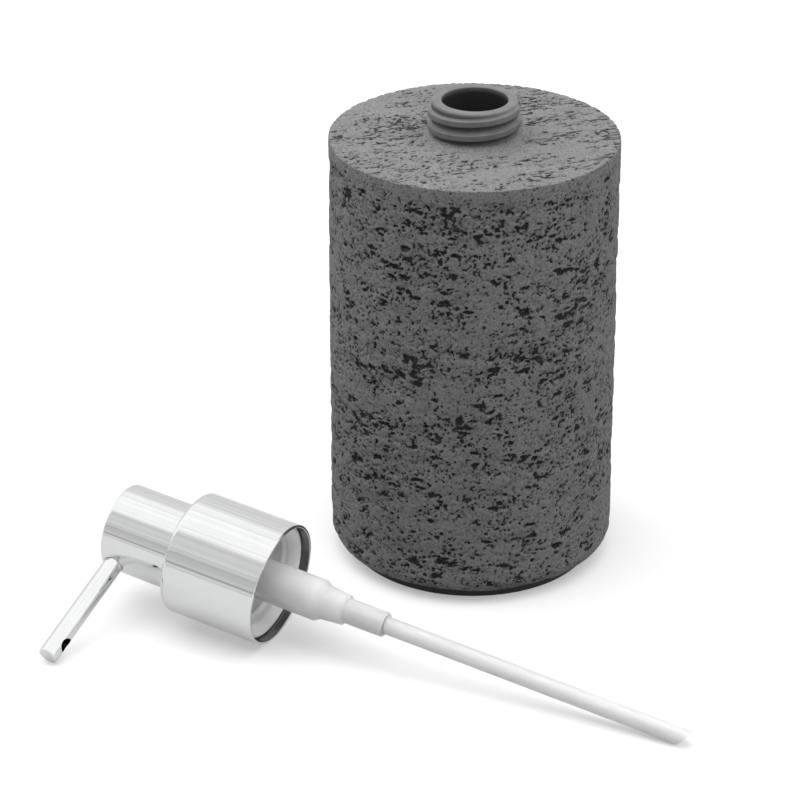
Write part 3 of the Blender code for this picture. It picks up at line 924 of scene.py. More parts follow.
    def top_relief(self, rng: np.random.Generator) -> Relief:
        """The top's relief and its painted shade: fine parallel sawn lines, dashes and pits along
        them.

        Args:
            rng: Source of its random numbers.

        Returns:
            The relief, whose width runs along the sawn lines.
        """
        across = 2 * self.radius
        made = Relief(across, across, self.map_cell)
        made.wobble = made.clouds(rng, 1.4, 0.8, 2)
        lines = made.cloud(rng, 42.0, 0.9) + 0.7 * made.cloud(rng, 20.0, 0.45)
        made.depth += 0.14 + 0.08 * lines + 0.04 * made.cloud(rng, 12.0, 6.0)
        # painted shade: the deeper sawn lines are painted darker
        made.shade += 0.30 * np.clip(lines - 0.15, 0, 1)
        patches = 0.7 * made.clouds(rng, 20.0, 7.0, 3)
        middles = [(np.arange(size) + 0.5) * made.cell for size in patches.shape]
        x, y = np.meshgrid(*middles, indexing="ij")
        for east, north, wide, high, strength in self.top_patches:
            patches += strength * np.exp(-(((x - east) / wide) ** 2) - ((y - north) / high) ** 2)
        # painted shade: each dash, pit and hollow, and the scratch below, is painted darker on its
        # floor
        for _ in range(self.marks_tried):
            x, y = rng.uniform(0, across, 2)
            column, line = int(x / made.cell), int(y / made.cell)
            here = patches[column % patches.shape[0], line % patches.shape[1]]
            size, deep, keep, kind = rng.uniform(0, 1, 4)
            if keep > 0.2 + 0.5 * here:
                continue
            if kind < (0.75 if x > across / 2 else 0.25):
                half = (0.6 + 2.3 * size * size, 0.2 + 0.2 * deep)
                turn = rng.uniform(-0.05, 0.05)
                made.pit((x, y), half, 0.3 + 0.35 * deep, 0.55 + 0.45 * deep, turn)
            else:
                radius = 0.25 + 0.32 * size
                made.pit((x, y), (radius * 1.3, radius), 0.3 + 0.5 * deep, 0.45 + 0.55 * deep)
        for _ in range(self.hollows):
            x, y = rng.uniform(0.1, 0.9, 2) * across
            half, turn = (rng.uniform(1.0, 1.8), rng.uniform(0.6, 0.95)), rng.uniform(-0.3, 0.3)
            made.pit((x, y), half, 1.0, 1.0, turn)
        scratch = (across * 0.36, across * 0.2)
        made.pit(scratch, (9.0, 0.22), 0.3, 0.55, 0.12)
        return made

    def edge_chips(self, rng: np.random.Generator) -> np.ndarray:
        """How far the rim's edge is knocked back, at even steps round the bottle."""
        steps = self.rim_steps
        turn = np.arange(steps)
        wave = 0.05 * np.sin(turn * 2 * math.pi * 5 / steps + 1.0) + 0.05
        for _ in range(self.rim_chips):
            at, wide, deep = rng.uniform(0, steps), rng.uniform(0.8, 3.0), rng.uniform(0.05, 0.3)
            gap = np.abs((turn - at + steps / 2) % steps - steps / 2)
            wave = np.maximum(wave, deep * np.clip(1.4 - gap / wide, 0, 1))
        return wave

    def surface(self, co: np.ndarray) -> tuple[np.ndarray, np.ndarray, np.ndarray]:
        """Works out how the stone's relief moves points of its plain surface.

        Args:
            co: Points, in millimetres.

        Returns:
            Each point's outward direction, how far it sinks, and how dark it is.
        """
        spread = np.hypot(co[:, 0], co[:, 1])
        turn = np.arctan2(co[:, 1], co[:, 0])
        z = co[:, 2]
        foot, edge = self.foot_centre(), self.top - self.edge_round
        inner = self.radius - self.foot_round
        lean = np.zeros(len(co))
        low = (z < foot) & (spread > inner + 1e-6)
        lean[low] = -np.arctan2(foot - z[low], spread[low] - inner)
        high = z > edge + 1e-6
        brow = high & (spread > self.radius - self.edge_round + 1e-6)
        lean[high] = math.pi / 2
        lean[brow] = np.arctan2(z[brow] - edge, spread[brow] - (self.radius - self.edge_round))
        up = np.where(low, lean * self.foot_round, np.minimum(z, edge) - foot)
        start = self.foot_round * math.pi / 2
        across = (turn % (2 * math.pi)) * self.radius
        grain = math.radians(self.sawn_turn)
        east = co[:, 0] * math.cos(grain) + co[:, 1] * math.sin(grain) + self.radius
        north = co[:, 1] * math.cos(grain) - co[:, 0] * math.sin(grain) + self.radius
        share = np.clip(lean / (math.pi / 2), 0, 1)
        side, top = self.side_map, self.top_map
        sunk = side.read(side.depth, across, up + start) * (1 - share)
        sunk += top.read(top.depth, east, north) * share
        dark = side.read(side.shade, across, up + start) * (1 - share)
        dark += top.read(top.shade, east, north) * share
        steps = len(self.chips)
        chip_at = (turn % (2 * math.pi)) * steps / (2 * math.pi)
        chip = np.interp(chip_at, np.arange(steps), self.chips, period=steps)
        in_from_edge = np.maximum(self.radius - self.edge_round - spread, 0)
        from_edge = np.hypot(np.maximum(edge - z, 0), in_from_edge)
        sunk += chip * np.clip(1 - from_edge / 1.3, 0, 1)
        mound = np.clip(1 - (spread - self.neck_root) / self.mound_reach, 0, 1) ** 2
        mound = mound * self.mound_height
        calm = np.clip((spread - self.neck_radius - 0.5) / self.mound_reach, 0, 1)
        sunk = np.where(high & ~brow, sunk * calm - mound, sunk)
        dark = np.where(high & ~brow, dark * calm, dark)
        flat = np.cos(lean)
        out = np.stack([np.cos(turn) * flat, np.sin(turn) * flat, np.sin(lean)], axis=1)
        return out, sunk, dark

    def roughened(self, obj: bpy.types.Object, skin: np.ndarray) -> bpy.types.Object:
        """Sinks the relief into the skin of a plain piece and shades its pores.

        Args:
            obj: The plain piece.
            skin: Which of its vertices lie on the outer surface.

        Returns:
            The piece.
        """
        co = points_of(obj.data)
        out, sunk, dark = self.surface(co)
        co -= out * (sunk * skin)[:, None]
        shaded_points(obj.data, co, dark * skin, 75.0)
        return obj

    def skin_of(self, obj: bpy.types.Object, low: float) -> np.ndarray:
        """Finds the vertices of a plain piece that lie on the bottle's outside.

        Args:
            obj: The plain piece.
            low: Height below which nothing of the piece is outside.

        Returns:
            One truth value for each vertex.
        """
        co = points_of(obj.data)
        spread, z = np.hypot(co[:, 0], co[:, 1]), co[:, 2]
        foot, inner = self.foot_centre(), self.radius - self.foot_round
        wall = (np.abs(spread - self.radius) < 0.01) & (z > foot - 0.01)
        bend = (z < foot) & (np.abs(np.hypot(spread - inner, foot - z) - self.foot_round) < 0.02)
        face = (np.abs(z - self.top) < 0.01) & (spread > self.neck_root - 0.01)
        corner = (self.radius - self.edge_round, self.top - self.edge_round)
        brow = np.abs(np.hypot(spread - corner[0], z - corner[1]) - self.edge_round) < 0.02
        return (wall | bend | face | brow) & (z > low - 0.01)

    def outline(self, up: float) -> tuple[float, float]:
        """Radius and height of the wall at a length up its outline from the foot's rounding."""
        if up >= 0:
            return self.radius, self.foot_centre() + up
        lean, inner = up / self.foot_round, self.radius - self.foot_round
        height = self.foot_centre() + self.foot_round * math.sin(lean)
        return inner + self.foot_round * math.cos(lean), height

    def wall_band(self, name: str, low: float, high: float) -> bpy.types.Object:
        """One band of the wall, from its pitted skin to the cavity.

        Args:
            name: The piece's name.
            low: Where it starts, as a length up the wall's outline.
            high: Where it ends.

        Returns:
            The piece.
        """
        rows = math.ceil((high - low) / self.row)
        profile = [self.outline(low + (high - low) * row / rows) for row in range(rows + 1)]
        first, last = profile[0][1], profile[-1][1]
        if low < 0:
            slope = self.cavity_radius - self.ledge_radius
            back = [(self.cavity_radius, last), (self.cavity_radius, self.cavity_floor + slope)]
            back += [(self.ledge_radius, self.cavity_floor), (self.ledge_radius, self.underside)]
        elif last > self.cavity_top:
            back = [(self.cavity_radius, self.slab_joint), (self.cavity_radius, first)]
        else:
            back = [(self.cavity_radius, last), (self.cavity_radius, first)]
        piece = as_object(name, rolled_shape(profile + back, self.sides), Matrix.Identity(4))
        return self.roughened(piece, self.skin_of(piece, first))

    def slab(self) -> bpy.types.Object:
        """The bottle's top, from its edge to the neck's root.

        Returns:
            The piece.
        """
        edge = self.radius - self.edge_round
        profile = arc((edge, self.top - self.edge_round), self.edge_round, 0, 90, 4)
        rows = math.ceil((edge - self.neck_root) / self.row)
        step = (edge - self.neck_root) / rows
        profile += [(edge - step * row, self.top) for row in range(1, rows + 1)]
        profile += [
            (self.neck_root, self.cavity_top),
            (self.cavity_radius, self.cavity_top),
            (self.cavity_radius, self.slab_joint),
        ]
        piece = as_object("stone_top", rolled_shape(profile, self.sides), Matrix.Identity(4))
        return self.roughened(piece, self.skin_of(piece, self.top - self.edge_round))

    def neck(self) -> bpy.types.Object:
        """The neck with its helical thread, and painted shade under its crests, under its rim and down
        its bore.

        Returns:
            The piece.
        """
        rows = 96
        low = self.top - 1.0
        rim_at = (self.neck_radius - self.rim_round, self.neck_top - self.rim_round)
        rim = arc(rim_at, self.rim_round, 0, 90, 5)
        step = (self.neck_top - self.rim_round - low) / rows
        outside = [(self.neck_radius, low + step * row) for row in range(1, rows)]
        bore_at = (self.neck_bore + self.bore_round, self.neck_top - self.bore_round)
        bore = arc(bore_at, self.bore_round, 90, 180, 4)
        depths = (0.6, 0.9, 1.3, 1.8, 2.4, 3.4, 5.0)
        bore += [(self.neck_bore, self.neck_top - depth) for depth in depths]
        profile = outside + rim + bore + [
            (self.neck_bore, self.cavity_top - 0.2),
            (self.neck_root + 0.1, self.cavity_top - 0.2),
            (self.neck_root + 0.1, low),
        ]
        piece = as_object("threaded_neck", rolled_shape(profile, 240), Matrix.Identity(4))
        co = points_of(piece.data)
        spread, turn = np.hypot(co[:, 0], co[:, 1]), np.arctan2(co[:, 1], co[:, 0]) % (2 * math.pi)
        skin = (spread > self.neck_radius - 0.02) & (co[:, 2] > low)
        raised, shaded = np.zeros(len(co)), np.zeros(len(co))
        for lap in range(math.ceil(self.thread_last)):
            run = turn / (2 * math.pi) + lap
            crest = self.thread_base + run * self.thread_pitch
            ends = np.minimum(run - self.thread_first, self.thread_last - run) / self.thread_fade
            ends = np.clip(ends, 0, 1)
            gap = np.abs(co[:, 2] - crest) - self.thread_crest / 2
            raised = np.maximum(raised, np.clip(1 - gap / self.thread_flank, 0, 1) * ends)
            # painted shade: a dark band just under each thread crest
            foot = np.abs(co[:, 2] - crest + self.thread_crest / 2 + self.thread_flank)
            under = foot / self.thread_flank
            shaded = np.maximum(shaded, np.clip(1.4 - under, 0, 1) * ends)
        raised = raised * raised * (3 - 2 * raised)
        grown = 1 + raised * skin * self.thread_height / spread
        co[:, :2] *= grown[:, None]
        # painted shade: darker the deeper down the bore
        inside = spread < self.neck_bore + self.bore_round
        dark = np.clip((self.neck_top - 0.2 - co[:, 2]) / 1.5, 0, 1) * inside
        # painted shade: a dark band in the groove under the rim
        rim_groove = np.abs(co[:, 2] - self.neck_top + 1.5) / self.thread_flank
        shaded = np.maximum(shaded, np.clip(1.2 - rim_groove, 0, 1) * (1 - raised))
        dark = np.maximum(dark, 0.7 * shaded * skin)
        shaded_points(piece.data, co, dark, 50.0)
        return piece

    def pad(self) -> bpy.types.Object:
        """The anti-slip pad under the bottle."""
        profile = softened(
            [(0.0, self.pad_top), (self.pad_radius, self.pad_top), (self.pad_radius, 0.0), (0.0, 0.0)],
            0.3,
            ring=False,
        )
        return turned("rubber_pad", profile, 192, Matrix.Identity(4), ring=False)


# -------------------------------------------------------------------- pump


@dataclass
class PumpFrame:
    """Where the pump lies: its own axes, from the collar's rim up to the head."""

    swivel_height: float = 45.0
    roll: float = 62.665
    spout_height: float = 48.2
    spout_rise: float = 3.35

    def __post_init__(self) -> None:
        """Reads the pump's axis from the head's swivel joint."""
        joint = next(j for j in frame["joints"] if j["name"] == "head_swivel")
        self.up = Vector(joint["axis"]).normalized()
        self.rim = Vector(joint["pos_m"]) - self.up * self.swivel_height * MM
        side = Vector((0.0, 1.0, 0.0))
        turned_axes = Matrix((side.cross(self.up), side, self.up)).transposed()
        self.pump = Matrix.Translation(self.rim) @ turned_axes.to_4x4()
        self.head = self.pump @ Matrix.Rotation(math.pi + math.radians(self.roll), 4, "Z")
        raised = Matrix.Translation((0.0, 0.0, self.spout_height * MM))
        lean = Matrix.Rotation(math.pi / 2 - math.radians(self.spout_rise), 4, "Y")
        self.spout = self.head @ raised @ lean


@dataclass
class Collar:
    """The chromed collar and the threaded insert pressed into it."""

    where: PumpFrame
    radius: float = 18.25
    height: float = 30.2
    wall: float = 0.9
    top_wall: float = 1.2
    top_round: float = 1.6
    head_hole: float = 13.27
    rim_round: float = 0.3
    bore_round: float = 0.25
    hole_round: float = 0.35
    insert_radius: float = 17.05
    recess: float = 2.6
    mouth_wall: float = 0.9
    lead_in: float = 2.4
    insert_bore: float = 13.95
    web_low: float = 14.07
    web_top: float = 15.27
    web_hole: float = 10.75
    thread_pitch: float = 4.3
    thread_height: float = 0.75
    thread_flank: float = 0.7
    thread_start: float = 1.0
    thread_fade: float = 1.2
    thread_stop: float = 0.4

    def build(
        self, chrome: bpy.types.Material, inside_shade_metal: bpy.types.Material, white: bpy.types.Material
    ) -> None:
        """Builds and dresses the shell and the insert.

        Args:
            chrome: Material of the shell.
            inside_shade_metal: Material of the shell's inside, a darker metal that paints the shade
                inside it.
            white: Material of the insert.
        """
        shell = dressed(self.shell(), chrome, Body.COLLAR, Slot.CHROME, "collar_shell")
        # painted shade: the shell's inside takes a darker metal
        self.shade_inside(shell, inside_shade_metal)
        dressed(self.insert(), white, Body.COLLAR, Slot.WHITE, "collar_insert")

    def shell(self) -> bpy.types.Object:
        """The drawn and plated shell."""
        bore = self.radius - self.wall
        ceiling = self.height - self.top_wall
        inner = self.top_round - self.wall
        shoulder = self.radius - self.top_round
        profile = [(shoulder - 0.4, self.height)]
        profile += arc((shoulder, self.height - self.top_round), self.top_round, 90, 0, 10)
        profile += [(self.radius, self.height - self.top_round - 0.4), (self.radius, 0.6)]
        profile += arc((self.radius - self.rim_round, self.rim_round), self.rim_round, 0, -90, 4)
        profile += arc((bore + self.bore_round, self.bore_round), self.bore_round, -90, -180, 4)
        profile += [(bore, 0.6), (bore, ceiling - inner - 0.3)]
        profile += arc((bore - inner, ceiling - inner), inner, 0, 90, 5)
        profile += [(self.head_hole, ceiling)]
        hole_at = (self.head_hole + self.hole_round, self.height - self.hole_round)
        profile += arc(hole_at, self.hole_round, 180, 90, 4)
        return turned("collar_shell_plated", profile, 256, self.where.pump)

    def shade_inside(self, shell: bpy.types.Object, inside_shade_metal: bpy.types.Material) -> None:
        """Gives the faces inside the shell a darker metal, as painted shade."""
        shell.data.materials.append(inside_shade_metal)
        back = self.where.pump.inverted()
        for face in shell.data.polygons:
            spot = back @ face.center / MM
            inside = math.hypot(spot.x, spot.y) < self.radius - self.wall + 0.08
            if inside and spot.z < self.height - 2.0:
                face.material_index = 1

    def insert(self) -> bpy.types.Object:
        """The insert with its thread."""
        mouth = self.insert_radius - self.mouth_wall
        bore_low = self.recess + self.lead_in
        rows = 60
        step = (self.web_low - bore_low) / rows
        profile = softened(
            [
                (self.insert_bore, self.web_low),
                (self.web_hole, self.web_low),
                (self.web_hole, self.web_top),
                (self.insert_radius, self.web_top),
                (self.insert_radius, self.recess),
                (mouth, self.recess),
                (self.insert_bore, bore_low),
            ],
            0.25,
            ring=False,
        )
        profile += [(self.insert_bore, bore_low + step * row) for row in range(1, rows)]
        shape = spun_shape(profile, 160)
        low = bore_low + self.thread_start
        for vert in shape.verts:
            spread = math.hypot(vert.co.x, vert.co.y)
            if abs(spread - self.insert_bore) > 0.02 or vert.co.z > self.web_low - 0.6:
                continue
            run = (math.atan2(vert.co.y, vert.co.x) % (2 * math.pi)) / (2 * math.pi)
            phase = ((vert.co.z - low) / self.thread_pitch - run + 0.5) % 1 - 0.5
            raised = max(0.0, min(1.0, 1.5 - abs(phase) * self.thread_pitch / self.thread_flank))
            below, above = vert.co.z - bore_low, self.web_low - self.thread_stop - vert.co.z
            ends = max(0.0, min(1.0, below / self.thread_fade, above / self.thread_fade))
            grown = 1 - raised * ends * self.thread_height / spread
            vert.co.x *= grown
            vert.co.y *= grown
        return as_object("collar_insert_moulded", shape, self.where.pump, 50.0)


@dataclass
class Housing:
    """The stepped housing that hangs in the bottle, with its gasket and cap."""

    where: PumpFrame
    radius: float = 6.16
    wall: float = 1.1
    shoulder: float = -13.0
    chamfer: float = 2.0
    taper_top: float = 5.05
    taper_end: float = 4.5
    taper_length: float = 6.5
    nose_radius: float = 3.69
    nose_length: float = 12.8
    nose_bore: float = 2.85
    flange_radius: float = 12.3
    flange_low: float = 12.57
    flange_top: float = 13.77
    gasket_low: float = 11.27
    gasket_top: float = 12.27
    gasket_gap: float = 0.3
    valve_hole: float = 1.4
    valve_seat: float = 1.2
    cap_collar: float = 5.55
    cap_lip: float = 11.25
    cap_radius: float = 10.45
    cap_bore: float = 3.55
    cap_low: float = 14.07
    cap_lip_low: float = 15.57
    cap_lip_top: float = 16.77
    cap_top: float = 20.77

    def build(
        self, frosted: bpy.types.Material, white: bpy.types.Material, foam: bpy.types.Material
    ) -> None:
        """Builds and dresses the housing, the gasket and the cap.

        Args:
            frosted: Material of the housing.
            white: Material of the cap.
            foam: Material of the gasket.
        """
        dressed(self.shell(), frosted, Body.PUMP, Slot.FROSTED, "pump_housing")
        ring = softened(
            [
                (self.flange_radius, self.gasket_top),
                (self.flange_radius, self.gasket_low),
                (self.radius + self.gasket_gap, self.gasket_low),
                (self.radius + self.gasket_gap, self.gasket_top),
            ],
            0.15,
        )
        gasket = turned("sealing_gasket_cut", ring, 128, self.where.pump)
        dressed(gasket, foam, Body.PUMP, Slot.FOAM, "sealing_gasket")
        outline = softened(
            [
                (self.cap_collar, self.cap_top),
                (self.cap_collar, self.cap_lip_top),
                (self.cap_lip, self.cap_lip_top),
                (self.cap_lip, self.cap_lip_low),
                (self.cap_radius, self.cap_lip_low),
                (self.cap_radius, self.cap_low),
                (self.cap_bore, self.cap_low),
                (self.cap_bore, self.cap_top),
            ],
            0.25,
        )
        cap = turned("housing_cap_moulded", outline, 96, self.where.pump)
        dressed(cap, white, Body.PUMP, Slot.WHITE, "housing_cap")

    def shell(self) -> bpy.types.Object:
        """The housing itself."""
        taper_at = self.shoulder - self.chamfer
        taper_low = taper_at - self.taper_length
        nose_low = taper_low - self.nose_length
        seat = taper_low + self.wall
        bore = self.radius - self.wall
        profile = softened(
            [
                (self.flange_radius, self.flange_top),
                (self.flange_radius, self.flange_low),
                (self.radius, self.flange_low),
                (self.radius, self.shoulder),
                (self.taper_top, taper_at),
                (self.taper_end, taper_low),
                (self.nose_radius, taper_low - (self.taper_end - self.nose_radius) / 2),
                (self.nose_radius, nose_low),
                (self.nose_bore, nose_low),
                (self.nose_bore, seat - self.valve_seat),
                (self.valve_hole, seat - self.valve_seat),
                (self.valve_hole, seat),
                (self.taper_end - self.wall, seat),
                (self.taper_top - self.wall, taper_at),
                (self.taper_top - self.wall, self.shoulder),
                (bore, self.shoulder),
                (bore, self.flange_top),
            ],
            0.3,
        )
        return turned("pump_housing_moulded", profile, 128, self.where.pump)


@dataclass
class DipTube:
    """The straight dip tube, cut off at a slant."""

    where: PumpFrame
    radius: float = 2.6
    bore: float = 1.8
    top: float = -21.9
    reach: float = 128.9
    slant: float = 38.0

    def build(self, material: bpy.types.Material) -> None:
        """Builds and dresses the tube.

        Args:
            material: Its material.
        """
        uncut = -self.reach - 4
        profile = [(self.radius, self.top), (self.radius, uncut)]
        profile += [(self.bore, uncut), (self.bore, self.top)]
        shape = spun_shape(profile, 64)
        slant = math.radians(self.slant)
        low = self.reach - 2 * self.radius * math.tan(slant)
        geometry = shape.verts[:] + shape.edges[:] + shape.faces[:]
        cut = bmesh.ops.bisect_plane(
            shape,
            geom=geometry,
            dist=MERGE,
            plane_co=(0.0, 0.0, -(self.reach + low) / 2),
            plane_no=(-math.sin(slant), 0.0, -math.cos(slant)),
            clear_outer=True,
        )
        rims = [item for item in cut["geom_cut"] if isinstance(item, bmesh.types.BMEdge)]
        bmesh.ops.bridge_loops(shape, edges=rims)
        bmesh.ops.recalc_face_normals(shape, faces=shape.faces)
        piece = as_object("dip_tube_extruded", shape, self.where.pump)
        dressed(piece, material, Body.PUMP, Slot.TUBE, "dip_tube")


@dataclass
class PumpInside:
    """What pumps: the stem, its valve and piston, the spring and the inlet ball."""

    where: PumpFrame
    stem_radius: float = 3.3
    stem_bore: float = 1.6
    stem_foot: float = 12.6
    stem_top: float = 43.6
    spring_radius: float = 4.41
    spring_wire: float = 0.35
    spring_foot: float = -11.2
    spring_top: float = 5.2
    spring_turns: float = 5.0
    spring_pressed: float = 4.4

    def build(
        self, white: bpy.types.Material, steel: bpy.types.Material, clear: bpy.types.Material
    ) -> None:
        """Builds and dresses the stem and the spring, and paints the rest.

        Args:
            white: Material of the stem and the retainer.
            steel: Material of the spring and the ball.
            clear: Material of the piston.
        """
        ring = softened(
            [
                (self.stem_radius, self.stem_top),
                (self.stem_radius, self.stem_foot),
                (self.stem_bore, self.stem_foot),
                (self.stem_bore, self.stem_top),
            ],
            0.2,
        )
        stem = turned("pump_stem_moulded", ring, 64, self.where.pump)
        dressed(stem, white, Body.STEM, Slot.WHITE, "pump_stem")
        spring = dressed(self.spring(), steel, Body.PUMP, Slot.STEEL, "return_spring")
        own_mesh(spring)
        for node in ("stem_valve", "ball_retainer", "head_core"):
            painted(node, white)
        painted("inlet_ball", steel)
        painted("piston_seal", clear)

    def spring(self) -> bpy.types.Object:
        """The return spring, a wire spun along a helix.

        Returns:
            The piece.
        """
        shape = bmesh.new()
        wire = bmesh.ops.create_circle(shape, cap_ends=True, segments=12, radius=self.spring_wire)
        bmesh.ops.rotate(shape, verts=wire["verts"], matrix=Matrix.Rotation(math.pi / 2, 3, "X"))
        middle = self.spring_radius - self.spring_wire
        foot = self.spring_foot + self.spring_wire
        bmesh.ops.translate(shape, verts=wire["verts"], vec=(middle, 0.0, foot))
        steps = round(self.spring_turns * 36)
        rise = self.spring_top - self.spring_wire - foot
        bmesh.ops.spin(
            shape,
            geom=shape.verts[:] + shape.edges[:] + shape.faces[:],
            cent=(0.0, 0.0, 0.0),
            axis=(0.0, 0.0, 1.0),
            dvec=(0.0, 0.0, rise / steps),
            angle=2 * math.pi * self.spring_turns,
            steps=steps,
            use_merge=False,
            use_normal_flip=False,
            use_duplicate=False,
        )
        bmesh.ops.recalc_face_normals(shape, faces=shape.faces)
        return as_object("return_spring_coiled", shape, self.where.pump, 50.0)


@dataclass
class Head:
    """The chromed head that is pressed, and its spout."""

    where: PumpFrame
    radius: float = 12.97
    top: float = 53.3
    wall: float = 1.0
    top_wall: float = 1.4
    top_round: float = 0.9
    skirt: float = 27.57
    skirt_round: float = 0.2
    spout_gap: float = 0.12
    spout_radius: float = 2.93
    spout_bore: float = 2.1
    spout_root: float = 7.2
    spout_reach: float = 48.0
    tip_round: float = 0.4
    tip_wall: float = 2.2
    outlet: float = 4.4
    outlet_width: float = 3.8
    outlet_from_tip: float = 5.6

    def build(self, chrome: bpy.types.Material, dark: bpy.types.Material) -> None:
        """Builds and dresses the head's shell and the spout.

        Args:
            chrome: Material of both.
            dark: Material inside the spout's bore, near black as painted shade.
        """
        dressed(self.shell(), chrome, Body.HEAD, Slot.CHROME, "head_shell")
        spout = dressed(self.spout(), chrome, Body.HEAD, Slot.CHROME, "spout_tube", "spout_plug")
        # painted shade: the faces inside the spout's bore take the near-black material
        spout.data.materials.append(dark)
        back = self.where.spout.inverted()
        for face in spout.data.polygons:
            spot = back @ face.center / MM
            inside = math.hypot(spot.x, spot.y) < self.spout_bore + 0.05
            if inside and spot.z < self.spout_reach - 1.0:
                face.material_index = 1

    def shell(self) -> bpy.types.Object:
        """The head's shell, with a hole for the spout."""
        bore = self.radius - self.wall
        ceiling = self.top - self.top_wall
        profile = [(0.0, self.top), (self.radius - self.top_round - 0.4, self.top)]
        brow_at = (self.radius - self.top_round, self.top - self.top_round)
        profile += arc(brow_at, self.top_round, 90, 0, 8)
        profile += [(self.radius, self.top - self.top_round - 0.4), (self.radius, self.skirt + 0.5)]
        skirt_at = (self.radius - self.skirt_round, self.skirt + self.skirt_round)
        profile += arc(skirt_at, self.skirt_round, 0, -90, 3)
        profile += [(bore, self.skirt), (bore, ceiling), (0.0, ceiling)]
        shell = turned("head_shell_plated", profile, 224, self.where.head, ring=False)
        wide, low, high = self.spout_radius + self.spout_gap, self.spout_root - 0.3, self.radius + 2.0
        carved(shell, self.rod("spout_hole", wide, low, high))
        return shell

    def rod(self, name: str, radius: float, low: float, high: float) -> bpy.types.Object:
        """A round cutter along the spout's axis.

        Args:
            name: Its name.
            radius: Its radius.
            low: Where it starts along the spout.
            high: Where it ends.

        Returns:
            The cutter.
        """
        shape = bmesh.new()
        middle = Matrix.Translation((0.0, 0.0, (low + high) / 2))
        bmesh.ops.create_cone(
            shape,
            cap_ends=True,
            segments=72,
            radius1=radius,
            radius2=radius,
            depth=high - low,
            matrix=middle,
        )
        return as_object(name, shape, self.where.spout)

    def spout(self) -> bpy.types.Object:
        """The spout, closed at its tip, with its outlet."""
        tip = self.spout_reach
        profile = [(0.0, tip), (self.spout_radius - self.tip_round - 0.2, tip)]
        corner = (self.spout_radius - self.tip_round, tip - self.tip_round)
        profile += arc(corner, self.tip_round, 90, 0, 5)
        profile += [
            (self.spout_radius, tip - 1.0),
            (self.spout_radius, self.spout_root),
            (self.spout_bore, self.spout_root),
            (self.spout_bore, tip - self.tip_wall),
            (0.0, tip - self.tip_wall),
        ]
        piece = turned("spout_plated", profile, 96, self.where.spout, ring=False)
        shape = bmesh.new()
        lean = Matrix.Rotation(math.pi / 2, 4, "Y")
        grow = Matrix.Diagonal((self.outlet / self.outlet_width, 1.0, 1.0, 1.0))
        at = Matrix.Translation((self.spout_radius, 0.0, tip - self.outlet_from_tip))
        bmesh.ops.create_cone(
            shape,
            cap_ends=True,
            segments=48,
            radius1=self.outlet_width / 2,
            radius2=self.outlet_width / 2,
            depth=2 * self.spout_radius,
            matrix=at @ lean @ grow,
        )
        carved(piece, as_object("outlet_cut", shape, self.where.spout))
        return piece


# ------------------------------------------------------------------ studio


